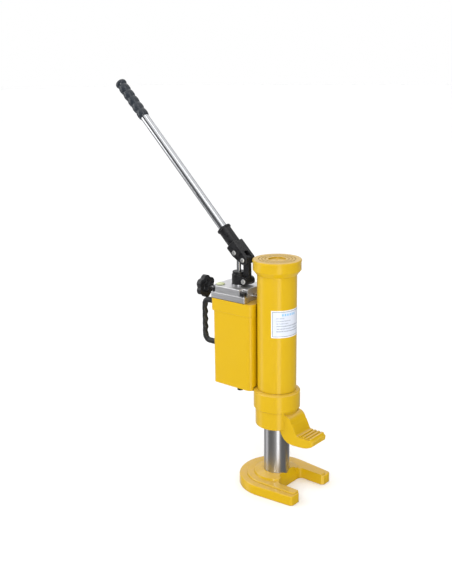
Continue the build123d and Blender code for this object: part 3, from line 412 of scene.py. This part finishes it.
class Finish(Enum):
    """Every finish on the jack, by what it is put on."""

    CAST_ENAMEL = Enamel("yellow_enamel_on_casting", YELLOW, peel=0.00003, cast=0.00014, soft=0.0022)
    PLATE_ENAMEL = Enamel("yellow_enamel_on_plate", YELLOW, soft=0.0015)
    TURNED_ENAMEL = Enamel("yellow_enamel_on_turning", YELLOW, peel=0.00002, soft=0.0009)
    GROUND_RAM = Machined("ground_ram_steel", (0.64, 0.64, 0.65), (0.56, 0.56, 0.57), (0.1, 0.1, 60),
                          rough_low=0.30, rough_high=0.36, depth=0.0000015, stain=0.12, pull=0.5)
    CHROME_BAR = Machined("chromed_bar", (0.62, 0.63, 0.65), (0.50, 0.51, 0.53), (1, 1, 0.04), (0, 45, 0),
                          380.0, 0.08, 0.17, 0.000005, 0.12)
    CHROME_ROD = Machined("chromed_plunger", (0.50, 0.51, 0.53), (0.40, 0.41, 0.43), (1, 1, 22), (0, 0, 0),
                          60.0, 0.10, 0.2, 0.000004, 0.1)
    MILLED = Machined("milled_aluminium", (0.80, 0.80, 0.81), (0.62, 0.62, 0.635), (0.03, 0.9, 1.0),
                      (0, 0, 0), 1100.0, 0.40, 0.52, 0.000004, 0.22, 0.0010)
    PIN_END = Machined("bright_pin_steel", (0.74, 0.74, 0.72), (0.55, 0.55, 0.54), (1, 0.3, 1), scale=260.0,
                       rough_low=0.28, rough_high=0.45)
    PLAIN_STEEL = Machined("plain_steel", (0.46, 0.46, 0.47), (0.30, 0.30, 0.31), (1, 1, 8), scale=120.0)
    BRONZE = Machined("turned_bronze", (0.58, 0.40, 0.19), (0.40, 0.25, 0.10), (1, 1, 18), scale=60.0)
    COPPER = Machined("soft_copper", (0.66, 0.33, 0.20), (0.42, 0.20, 0.12), scale=140.0)
    BLACK_STEEL = Blackened("blackened_steel")
    BLACK_PAINT = Blackened("black_painted_steel", (0.005, 0.005, 0.006), 0.30, 0.0010)
    KNOB_PLASTIC = Moulded("black_knob_plastic", (0.010, 0.010, 0.011), (0.018, 0.018, 0.020), 0.26)
    CARRY_PLASTIC = Moulded("black_handle_plastic", (0.016, 0.017, 0.018), (0.028, 0.029, 0.031), 0.30)
    GRIP_PLASTIC = Moulded("slate_grip_plastic", (0.022, 0.027, 0.034), (0.030, 0.036, 0.045), 0.16)
    SEAL = Moulded("seal_rubber", (0.014, 0.014, 0.014), (0.024, 0.024, 0.024), 0.5, 0.00004)
    NYLON = Moulded("bearing_nylon", (0.33, 0.24, 0.12), (0.26, 0.18, 0.09), 0.45)
    CAP_PLASTIC = Moulded("cap_plastic", (0.56, 0.60, 0.36), (0.64, 0.66, 0.46), 0.32, clear=0.25)


_made: dict[str, bpy.types.Material] = {}


def finish_of(kind: Finish | PrintedFilm) -> bpy.types.Material:
    """Material of a finish, made once."""
    recipe = kind.value if isinstance(kind, Finish) else kind
    if recipe.name not in _made:
        _made[recipe.name] = recipe.make()
    return _made[recipe.name]


# ------------------------------------------------------------------ bench
def clear_selection() -> None:
    """Leave edit mode and deselect everything."""
    if bpy.context.object and bpy.context.object.mode != "OBJECT":
        bpy.ops.object.mode_set(mode="OBJECT")
    bpy.ops.object.select_all(action="DESELECT")


def pick(obj: bpy.types.Object) -> None:
    """Select one object and make it active."""
    clear_selection()
    obj.select_set(True)
    bpy.context.view_layer.objects.active = obj


def select_faces(obj: bpy.types.Object, wanted: Callable[[bpy.types.MeshPolygon], bool]) -> None:
    """In edit mode, select exactly the faces that pass a test.

    Args:
        obj: the active object, in edit mode.
        wanted: test on a face.
    """
    bpy.ops.mesh.select_all(action="DESELECT")
    bpy.ops.object.mode_set(mode="OBJECT")
    for face in obj.data.polygons:
        face.select = wanted(face)
    bpy.ops.object.mode_set(mode="EDIT")


def settle(obj: bpy.types.Object, name: str, angle: float = SMOOTH_DEG) -> bpy.types.Object:
    """Put a shaped piece at the origin with its place in its mesh, closed and smooth.

    Args:
        obj: the piece.
        name: its final name.
        angle: edges sharper than this in degrees stay sharp.

    Returns:
        The same piece.
    """
    pick(obj)
    bpy.ops.object.transform_apply(location=True, rotation=True, scale=True)
    bpy.ops.object.mode_set(mode="EDIT")
    bpy.ops.mesh.select_all(action="SELECT")
    bpy.ops.mesh.remove_doubles(threshold=0.000002)
    bpy.ops.mesh.normals_make_consistent(inside=False)
    bpy.ops.object.mode_set(mode="OBJECT")
    bpy.ops.object.shade_smooth_by_angle(angle=math.radians(angle))
    obj.name = name
    obj.data.name = name
    return obj


def add_modifier(obj: bpy.types.Object, kind: str, **values: object) -> None:
    """Add a modifier with its settings and apply it at once."""
    pick(obj)
    modifier = obj.modifiers.new(kind.lower(), kind)
    for key, value in values.items():
        setattr(modifier, key, value)
    bpy.ops.object.modifier_apply(modifier=modifier.name)


def disc(point: Vector, turn: Sequence[float], radius: float, sides: int) -> bpy.types.Object:
    """Start a piece as a filled circle and leave it in edit mode, all selected."""
    clear_selection()
    bpy.ops.mesh.primitive_circle_add(vertices=sides, radius=radius, fill_type="NGON", location=point,
                                      rotation=turn)
    piece = bpy.context.object
    bpy.ops.object.transform_apply(location=True, rotation=True, scale=True)
    bpy.ops.object.mode_set(mode="EDIT")
    bpy.ops.mesh.select_all(action="SELECT")
    return piece


def grow(step: Vector, centre: Vector, factor: Sequence[float] | float) -> None:
    """Extrude the selected end by a step, then scale it about a point."""
    bpy.ops.mesh.extrude_region_move(TRANSFORM_OT_translate={"value": step})
    if isinstance(factor, float):
        factor = (factor, factor, factor)
    if any(abs(f - 1.0) > 1e-6 for f in factor):
        bpy.ops.transform.resize(value=factor, center_override=centre)


def turned(name: str, start: Vector, along: Vector, turn: Sequence[float],
           profile: Sequence[tuple[float, float]], sides: int = 64,
           angle: float = SMOOTH_DEG) -> bpy.types.Object:
    """Turn a closed piece on an axis from (radius, distance) pairs.

    Args:
        name: the piece's name.
        start: point of the axis at distance 0.
        along: unit vector of the axis.
        turn: rotation that lays a level circle square to the axis.
        profile: radius and distance of each ring, in order.
        sides: corners of a ring.
        angle: smoothing angle in degrees.

    Returns:
        The finished piece.
    """
    radius, distance = profile[0]
    piece = disc(start + along * distance, turn, radius, sides)
    for next_radius, next_distance in profile[1:]:
        centre = start + along * next_distance
        grow(along * (next_distance - distance), centre, float(next_radius / radius))
        radius, distance = next_radius, next_distance
    return settle(piece, name, angle)


def skinned(node: str, angle: float = SMOOTH_DEG) -> bpy.types.Object:
    """Copy a CAD node into one welded, smooth mesh.

    Args:
        node: the node's name.
        angle: smoothing angle in degrees.

    Returns:
        The new piece.
    """
    source = frame["nodes"][node]
    piece = source.copy()
    piece.data = source.data.copy()
    piece.parent = None
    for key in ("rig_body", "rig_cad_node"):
        if key in piece:
            del piece[key]
    bpy.context.scene.collection.objects.link(piece)
    pick(piece)
    if piece.data.has_custom_normals:
        bpy.ops.mesh.customdata_custom_splitnormals_clear()
    bpy.ops.object.mode_set(mode="EDIT")
    bpy.ops.mesh.select_all(action="SELECT")
    bpy.ops.mesh.remove_doubles(threshold=0.000004)
    bpy.ops.mesh.dissolve_limited(angle_limit=math.radians(0.3))
    bpy.ops.object.mode_set(mode="OBJECT")
    bpy.ops.object.shade_smooth_by_angle(angle=math.radians(angle))
    piece.name = f"{node}_skin"
    piece.data.name = piece.name
    return piece


def dress(piece: bpy.types.Object, kind: Finish | PrintedFilm, body: str,
          stands_for: Sequence[str] = ()) -> None:
    """Give a piece its finish and body, and hide the nodes it stands for.

    Args:
        piece: the finished mesh.
        kind: its finish.
        body: the body it moves with.
        stands_for: CAD nodes that it replaces.
    """
    piece.data.materials.clear()
    piece.data.materials.append(finish_of(kind))
    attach(piece, body)
    if stands_for:
        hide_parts(*stands_for)
    LOG.info("%s: %d faces, on %s", piece.name, len(piece.data.polygons), body)


def dress_skins(body: str, kind: Finish, nodes: Iterable[str], angle: float = SMOOTH_DEG) -> None:
    """Weld, smooth and dress several CAD nodes alike."""
    for node in nodes:
        dress(skinned(node, angle), kind, body, [node])


# ------------------------------------------------------------------ sub-assemblies
@dataclass
class Base:
    """Horseshoe foot and the fixed ram with its piston."""

    body: str = "base"

    def build(self) -> None:
        """Dress the foot, the ram and what is inside the cylinder on the ram."""
        dress_skins(self.body, Finish.CAST_ENAMEL, ["foot"], 38.0)
        dress_skins(self.body, Finish.GROUND_RAM, ["ram"])
        dress_skins(self.body, Finish.BLACK_STEEL, ["foot_set_screw"])
        dress_skins(self.body, Finish.PLAIN_STEEL, ["piston", "piston_nut", "stop_sleeve"])
        dress_skins(self.body, Finish.SEAL, ["piston_seal"])
        dress_skins(self.body, Finish.NYLON, ["piston_guide_band"])


@dataclass
class Cylinder:
    """Sliding cylinder: tube, cap, collar, claw and rating plate."""

    body: str = "lift_body"
    label_start: float = -70.0
    label_width: float = 114.6

    def build(self) -> None:
        """Dress the tube, its ends, the claw and the plate."""
        dress_skins(self.body, Finish.TURNED_ENAMEL, ["cylinder_tube", "head_cap", "collar"])
        dress_skins(self.body, Finish.CAST_ENAMEL, ["toe"], 38.0)
        dress_skins(self.body, Finish.BRONZE, ["gland_bush"])
        dress_skins(self.body, Finish.SEAL, ["head_cap_seal", "rod_wiper"])
        self.plate()

    def plate(self) -> None:
        """Dress the rating plate with its printed rows."""
        low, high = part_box("rating_label")
        print_film = PrintedFilm("rating_plate_print", low.z, high.z, self.label_start, self.label_width)
        dress(skinned("rating_label"), print_film, self.body, ["rating_label"])


@dataclass
class Tank:
    """Oil tank with its upper band and drain."""

    body: str = "lift_body"

    def build(self) -> None:
        """Dress the tank, the band and the drain."""
        dress_skins(self.body, Finish.PLATE_ENAMEL, ["tank_shell", "tank_rail"])
        dress_skins(self.body, Finish.BLACK_STEEL, ["drain_plug"])
        dress_skins(self.body, Finish.COPPER, ["drain_washer"])


@dataclass
class PumpBlock:
    """Milled cover with its screws, filler cap, nipple and valve parts."""

    body: str = "lift_body"

    def build(self) -> None:
        """Dress the cover and everything fitted to it."""
        dress_skins(self.body, Finish.MILLED, ["pump_cover"])
        dress_skins(self.body, Finish.SEAL, ["cover_gasket", "filler_seal", "spindle_seal"])
        dress_skins(self.body, Finish.BLACK_STEEL, ["cover_screws", "valve_gland_nut"])
        dress_skins(self.body, Finish.PLAIN_STEEL,
                    ["spring_washers", "pressure_nipple", "drilling_plug", "suction_tube", "suction_ball",
                     "suction_retainer", "discharge_ball", "discharge_spring", "release_ball"])
        dress_skins(self.body, Finish.CAP_PLASTIC, ["filler_cap"])
        dress_skins(self.body, Finish.BRONZE, ["suction_strainer"])


@dataclass
class Pump:
    """Barrel, plunger and link."""

    def build(self) -> None:
        """Dress the barrel on the cover, the plunger and the link."""
        dress_skins("lift_body", Finish.BLACK_STEEL, ["pump_barrel", "link_pin_clips"])
        dress_skins("lift_body", Finish.PLAIN_STEEL, ["barrel_ring"])
        dress_skins("lift_body", Finish.SEAL, ["pump_seal"])
        dress_skins("lift_body", Finish.PIN_END, ["link_pin"])
        dress_skins("link", Finish.BLACK_STEEL, ["fulcrum_link"])
        dress_skins("plunger_body", Finish.CHROME_ROD, ["plunger"])
        dress_skins("plunger_body", Finish.BLACK_STEEL, ["plunger_head"])


@dataclass
class Lever:
    """Fork, its pins and the handle socket."""

    body: str = "lever"

    def build(self) -> None:
        """Dress the fork, the pins and the socket."""
        dress_skins(self.body, Finish.BLACK_PAINT, ["lever_fork", "handle_socket"])
        dress_skins(self.body, Finish.PIN_END, ["fulcrum_pin", "plunger_pin"])
        dress_skins(self.body, Finish.BLACK_STEEL, ["fork_pin_clips"])


@dataclass
class Handle:
    """Chromed bar with a moulded grip."""

    body: str = "handle"
    along: Vector = field(default_factory=lambda: Vector((-math.sqrt(0.5), 0.0, math.sqrt(0.5))))
    turn: tuple[float, float, float] = (0.0, math.radians(-45.0), 0.0)
    fulcrum: Vector = field(default_factory=lambda: Vector((-0.094977, 0.0, 0.588991)))
    off_axis: float = -0.004
    grip_from: float = 0.494
    bumps: int = 5
    pitch: float = 0.023
    crest: float = 0.0150
    waist: float = 0.0127
    knob: float = 0.0155
    flare: float = 0.0085
    dome: float = 0.0095
    steps: int = 12

    def build(self) -> None:
        """Dress the bar and model the grip."""
        dress_skins(self.body, Finish.CHROME_BAR, ["handle_bar"])
        dress(self.grip(), Finish.GRIP_PLASTIC, self.body, ["handle_grip"])

    def grip(self) -> bpy.types.Object:
        """Turn the grip: a lip, rounded waves and an end knob, closed round the bar's end.

        Returns:
            The finished grip.
        """
        across = Vector((self.along.z, 0.0, -self.along.x))
        start = self.fulcrum + across * self.off_axis + self.along * self.grip_from
        profile = [(0.0117, 0.0), (0.0124, 0.0002), (self.waist, 0.0008)]
        for i in range(1, self.bumps * self.steps + 1):
            phase = math.pi * i / self.steps
            wave = abs(math.sin(phase)) ** 0.8
            profile.append((self.waist + (self.crest - self.waist) * wave, self.pitch * i / self.steps))
        length = self.bumps * self.pitch
        for i in range(1, 10):
            turn = math.pi / 2 * i / 9
            radius = self.waist + (self.knob - self.waist) * math.sin(turn)
            profile.append((radius, length + self.flare * i / 9))
        for i in range(1, 12):
            turn = math.pi / 2 * i / 12
            radius = self.knob * math.cos(turn) ** 0.75
            profile.append((radius, length + self.flare + self.dome * math.sin(turn)))
        profile.append((0.0004, length + self.flare + self.dome))
        return turned("grip_moulding", start, self.along, self.turn, profile, 56, 60.0)


@dataclass
class ReleaseValve:
    """Star knob on the release valve's spindle."""

    body: str = "release_valve"
    lobes: int = 6
    hollow: float = 0.80
    shoulder: float = 0.965
    thick: float = 0.013

    def build(self) -> None:
        """Dress the spindle and model the knob."""
        dress_skins(self.body, Finish.PLAIN_STEEL, ["valve_spindle"])
        dress(self.star(), Finish.KNOB_PLASTIC, self.body, ["release_knob"])

    def star(self) -> bpy.types.Object:
        """Shape the knob from a short cylinder: hollows drawn in, faces dished, edges rounded.

        Returns:
            The finished knob.
        """
        low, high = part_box("release_knob")
        centre_y, centre_z = (low.y + high.y) / 2, (low.z + high.z) / 2
        radius = (high.z - low.z) / 2
        x_mid = low.x + self.thick / 2
        axis = Vector((0.0, centre_y, centre_z))
        clear_selection()
        bpy.ops.mesh.primitive_cylinder_add(vertices=self.lobes * 4, radius=radius, depth=self.thick,
                                            location=(x_mid, centre_y, centre_z),
                                            rotation=(0, math.pi / 2, 0))
        knob = bpy.context.object
        bpy.ops.object.transform_apply(location=True, rotation=True, scale=True)
        for number, factor in ((0, 1.0), (1, self.shoulder), (2, self.hollow), (3, self.shoulder)):
            for vertex in knob.data.vertices:
                vertex.select = self.place(vertex.co - axis) == number
            for items in (knob.data.edges, knob.data.polygons):
                for item in items:
                    item.select = False
            bpy.ops.object.mode_set(mode="EDIT")
            bpy.ops.mesh.select_mode(type="VERT")
            if factor < 1.0:
                bpy.ops.transform.resize(value=(1.0, factor, factor),
                                         center_override=(x_mid, centre_y, centre_z))
            bpy.ops.object.mode_set(mode="OBJECT")
        bpy.ops.object.mode_set(mode="EDIT")
        bpy.ops.mesh.select_mode(type="FACE")
        for side in (-1.0, 1.0):
            select_faces(knob, lambda face, s=side: face.normal.x * s > 0.9)
            bpy.ops.mesh.inset(thickness=0.0022, depth=0.0)
            bpy.ops.mesh.inset(thickness=0.0060, depth=0.0006)
            bpy.ops.mesh.inset(thickness=0.0045, depth=-0.0016)
        self.hub(knob, x_mid + self.thick / 2, high.x, axis)
        bpy.ops.object.mode_set(mode="OBJECT")
        add_modifier(knob, "BEVEL", width=0.0012, segments=2, limit_method="ANGLE",
                     angle_limit=math.radians(50), use_clamp_overlap=True)
        add_modifier(knob, "SUBSURF", levels=2, render_levels=2)
        return settle(knob, "star_knob", 60.0)

    def place(self, out: Vector) -> int:
        """Which of a lobe's four corners a point is, counted from the lobe's crest."""
        turn = math.degrees(math.atan2(out.z, out.y)) + 90.0
        return round(turn / (90.0 / self.lobes)) % 4

    @staticmethod
    def hub(knob: bpy.types.Object, face_x: float, end_x: float, axis: Vector) -> None:
        """Draw a tapering hub out of the knob's inner face.

        Args:
            knob: the knob, in edit mode.
            face_x: where the inner face lies.
            end_x: where the hub ends.
            axis: the knob's axis point.
        """
        select_faces(knob, lambda face: face.normal.x > 0.9 and abs(face.center.x - face_x) < 0.003
                     and len(face.vertices) > 8)
        length = end_x - face_x
        for share, factor in ((0.12, 0.90), (0.70, 0.94), (0.18, 0.90)):
            grow(Vector((length * share, 0, 0)), axis, (1.0, factor, factor))


@dataclass
class CarryHandle:
    """Moulded carry handle with finger hollows and its two bright ferrules."""

    body: str = "lift_body"
    bar: float = 0.00775
    corner: float = 0.01425
    fingers: int = 4
    hollow: float = 0.0042
    rings: int = 8
    ferrule: float = 0.007

    def build(self) -> None:
        """Model the grip bow and the ferrules and dress the screws."""
        dress(self.bow(), Finish.CARRY_PLASTIC, self.body, ["carry_handle"])
        for name, point in (("upper_ferrule", self.upper_end), ("lower_ferrule", self.lower_end)):
            radius = self.bar * 1.12
            profile = [(radius * 0.9, 0.0), (radius, 0.0005), (radius, self.ferrule - 0.0008),
                       (radius * 0.93, self.ferrule), (self.bar * 0.995, self.ferrule)]
            ferrule = turned(name, point, Vector((-1, 0, 0)), (0, -math.pi / 2, 0), profile, 40)
            dress(ferrule, Finish.PIN_END, self.body)
        dress_skins(self.body, Finish.BLACK_STEEL, ["carry_handle_screws"])

    def bow(self) -> bpy.types.Object:
        """Draw a round bar out, round, down past the fingers, round and back.

        Returns:
            The finished bow.
        """
        low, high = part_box("carry_handle")
        top, bottom = high.z - self.bar, low.z + self.bar
        column = low.x + self.bar
        bend_x = column + self.corner
        rail_x, tank_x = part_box("tank_rail")[0].x, high.x
        self.upper_end = Vector((rail_x, 0.0, top))
        self.lower_end = Vector((tank_x, 0.0, bottom))
        bow = disc(self.upper_end, (0, -math.pi / 2, 0), self.bar, 36)
        centre = Vector((0.0, 0.0, 0.0))
        grow(Vector((bend_x - rail_x, 0, 0)), centre, 1.0)
        bpy.ops.mesh.spin(steps=10, angle=math.radians(90), center=(bend_x, 0, top - self.corner),
                          axis=(0, 1, 0))
        run = top - bottom - 2 * self.corner
        steps = self.fingers * self.rings
        z = top - self.corner
        width = 2 * self.bar
        for i in range(1, steps + 1):
            z -= run / steps
            depth = self.hollow * math.sin(math.pi * i / self.rings) ** 2
            new_width = 2 * self.bar - depth
            grow(Vector((0, 0, -run / steps)), Vector((low.x, 0, z)), (new_width / width, 1.0, 1.0))
            width = new_width
        bpy.ops.mesh.spin(steps=10, angle=math.radians(90), center=(bend_x, 0, bottom + self.corner),
                          axis=(0, 1, 0))
        grow(Vector((tank_x - bend_x, 0, 0)), centre, 1.0)
        return settle(bow, "carry_bow", 60.0)


# ------------------------------------------------------------------ studio
@dataclass(frozen=True)
class Softbox:
    """A soft lamp: where it stands, what it faces and how strong it is."""

    name: str
    at: tuple[float, float, float]
    facing: tuple[float, float, float]
    size: tuple[float, float]
    power: float
    colour: Colour = (1.0, 1.0, 1.0)

    def place(self) -> None:
        """Put the lamp in the scene."""
        data = bpy.data.lights.new(self.name, "AREA")
        data.shape = "RECTANGLE"
        data.size, data.size_y = self.size
        data.energy = self.power
        data.color = self.colour
        lamp = bpy.data.objects.new(self.name, data)
        bpy.context.scene.collection.objects.link(lamp)
        lamp.location = self.at
        aim = Vector(self.facing) - Vector(self.at)
        lamp.rotation_euler = aim.to_track_quat("-Z", "Y").to_euler()


@dataclass
class Studio:
    """Pale floor, soft lamps, light panels all round and the camera."""

    eye: Vector = field(default_factory=lambda: Vector((1.1751, -1.5749, 1.0471)))
    right: Vector = field(default_factory=lambda: Vector((0.7634, 0.6458, -0.0141)))
    up: Vector = field(default_factory=lambda: Vector((-0.1573, 0.2070, 0.9656)))
    lens: float = 64.8
    sensor: float = 36.0
    paleness: float = 0.96
    overhead: float = 2.0
    panel_strength: float = 2.4
    front: Vector = field(default_factory=lambda: Vector((0.598, -0.8015, 0.0)))
    panels: tuple[tuple[float, float], ...] = (
        (-180.0, 0.33), (180.0, 0.33), (-158.0, 0.28), (-137.0, 0.14), (-115.0, 0.11), (-104.0, 0.43),
        (-94.0, 0.43), (-84.0, 0.07), (-20.0, 0.06), (-6.0, 0.10), (4.0, 1.0), (14.0, 1.0), (24.0, 0.08),
        (108.0, 0.05), (144.0, 0.14),
    )
    lamps: tuple[Softbox, ...] = (
        Softbox("key_box", (0.95, -2.2, 1.0), (-0.05, 0.0, 0.30), (0.25, 1.6), 20.0),
        Softbox("left_box", (-2.1, -1.5, 1.3), (-0.1, 0.0, 0.5), (1.2, 1.8), 15.0),
        Softbox("right_box", (2.4, 0.6, 1.1), (0.0, 0.0, 0.4), (0.25, 1.6), 3.0, (1.0, 0.97, 0.93)),
    )

    def build(self) -> None:
        """Set up the floor, lamps, world and camera."""
        self.sweep()
        self.sky()
        for lamp in self.lamps:
            lamp.place()
        self.world()
        self.camera()
        bpy.context.scene.view_settings.view_transform = "Standard"

    def sweep(self) -> None:
        """Make the pale floor."""
        clear_selection()
        bpy.ops.mesh.primitive_plane_add(size=120.0, location=(0.0, 0.0, -0.0002))
        floor = bpy.context.object
        settle(floor, "studio_floor")
        g = Graph("pale_floor")
        patches = g.span(g.noise(3.0, 3.0), 0.3, 0.7)
        shade = g.blend(patches, (self.paleness,) * 3, (self.paleness * 0.985,) * 3)
        g.put(g.surface, "Base Color", shade)
        g.put(g.surface, "Roughness", 0.75)
        g.put(g.surface, "Specular IOR Level", 0.15)
        floor.data.materials.append(g.material)
        floor.visible_glossy = False

    def sky(self) -> None:
        """Hang a very soft overhead light that reaches all of the floor alike."""
        data = bpy.data.lights.new("overhead", "SUN")
        data.energy = self.overhead
        data.angle = math.radians(110.0)
        lamp = bpy.data.objects.new("overhead", data)
        bpy.context.scene.collection.objects.link(lamp)

    def world(self) -> None:
        """Surround the jack with tall light panels and dark gaps, told apart by their bearing."""
        world = bpy.data.worlds.new("studio_world")
        bpy.context.scene.world = world
        world.use_nodes = True
        tree = world.node_tree
        seen = tree.nodes["Background"]
        seen.inputs["Color"].default_value = (1.0, 1.0, 1.0, 1.0)
        cast = tree.nodes.new("ShaderNodeBackground")
        cast.inputs["Strength"].default_value = self.panel_strength
        tree.links.new(self.panel_ramp(tree, self.bearing(tree)), cast.inputs["Color"])
        ray = tree.nodes.new("ShaderNodeLightPath")
        mix = tree.nodes.new("ShaderNodeMixShader")
        tree.links.new(ray.outputs["Is Camera Ray"], mix.inputs[0])
        tree.links.new(cast.outputs[0], mix.inputs[1])
        tree.links.new(seen.outputs[0], mix.inputs[2])
        tree.links.new(mix.outputs[0], tree.nodes["World Output"].inputs[0])

    def bearing(self, tree: bpy.types.NodeTree) -> bpy.types.NodeSocket:
        """Bearing of a direction, clockwise from the jack's front corner.

        Args:
            tree: the world's node tree.

        Returns:
            The bearing, from 0 at -180 degrees to 1 at 180.
        """
        place = tree.nodes.new("ShaderNodeTexCoord").outputs["Generated"]
        turn = tree.nodes.new("ShaderNodeMath")
        turn.operation = "ARCTAN2"
        for number, axis in enumerate((self.right, self.front)):
            dot = tree.nodes.new("ShaderNodeVectorMath")
            dot.operation = "DOT_PRODUCT"
            dot.inputs[1].default_value = (axis.x, axis.y, 0.0)
            tree.links.new(place, dot.inputs[0])
            tree.links.new(dot.outputs["Value"], turn.inputs[number])
        spread = tree.nodes.new("ShaderNodeMapRange")
        spread.inputs["From Min"].default_value = -math.pi
        spread.inputs["From Max"].default_value = math.pi
        tree.links.new(turn.outputs[0], spread.inputs["Value"])
        return spread.outputs[0]

    def panel_ramp(self, tree: bpy.types.NodeTree, bearing: bpy.types.NodeSocket) -> bpy.types.NodeSocket:
        """Brightness of the surroundings on each bearing.

        Args:
            tree: the world's node tree.
            bearing: the bearing, from 0 to 1.

        Returns:
            The colour of the surroundings.
        """
        ramp = tree.nodes.new("ShaderNodeValToRGB")
        stops = ramp.color_ramp.elements
        for number, (degrees, level) in enumerate(self.panels):
            position = (degrees + 180.0) / 360.0
            stop = stops[number] if number < 2 else stops.new(position)
            stop.position = position
            stop.color = (level, level, level * 1.01, 1.0)
        tree.links.new(bearing, ramp.inputs[0])
        return ramp.outputs[0]

    def camera(self) -> None:
        """Stand the camera where the jack is seen from its front corner."""
        data = bpy.data.cameras.new("eye")
        data.sensor_fit = "HORIZONTAL"
        data.sensor_width = self.sensor
        data.lens = self.lens
        camera = bpy.data.objects.new("eye", data)
        bpy.context.scene.collection.objects.link(camera)
        right = self.right.normalized()
        back = right.cross(self.up).normalized()
        up = back.cross(right)
        axes = Matrix((right, up, back)).transposed().to_4x4()
        camera.matrix_world = Matrix.Translation(self.eye) @ axes
        bpy.context.scene.camera = camera


def main() -> None:
    """Build and dress the jack, then the studio round it."""
    logging.basicConfig(level=logging.INFO, format="%(name)s %(message)s")
    for part in (Base(), Cylinder(), Tank(), PumpBlock(), Pump(), Lever(), Handle(), ReleaseValve(),
                 CarryHandle(), Studio()):
        LOG.info("building %s", type(part).__name__)
        part.build()
    clear_selection()


if __name__ == "__main__":
    main()
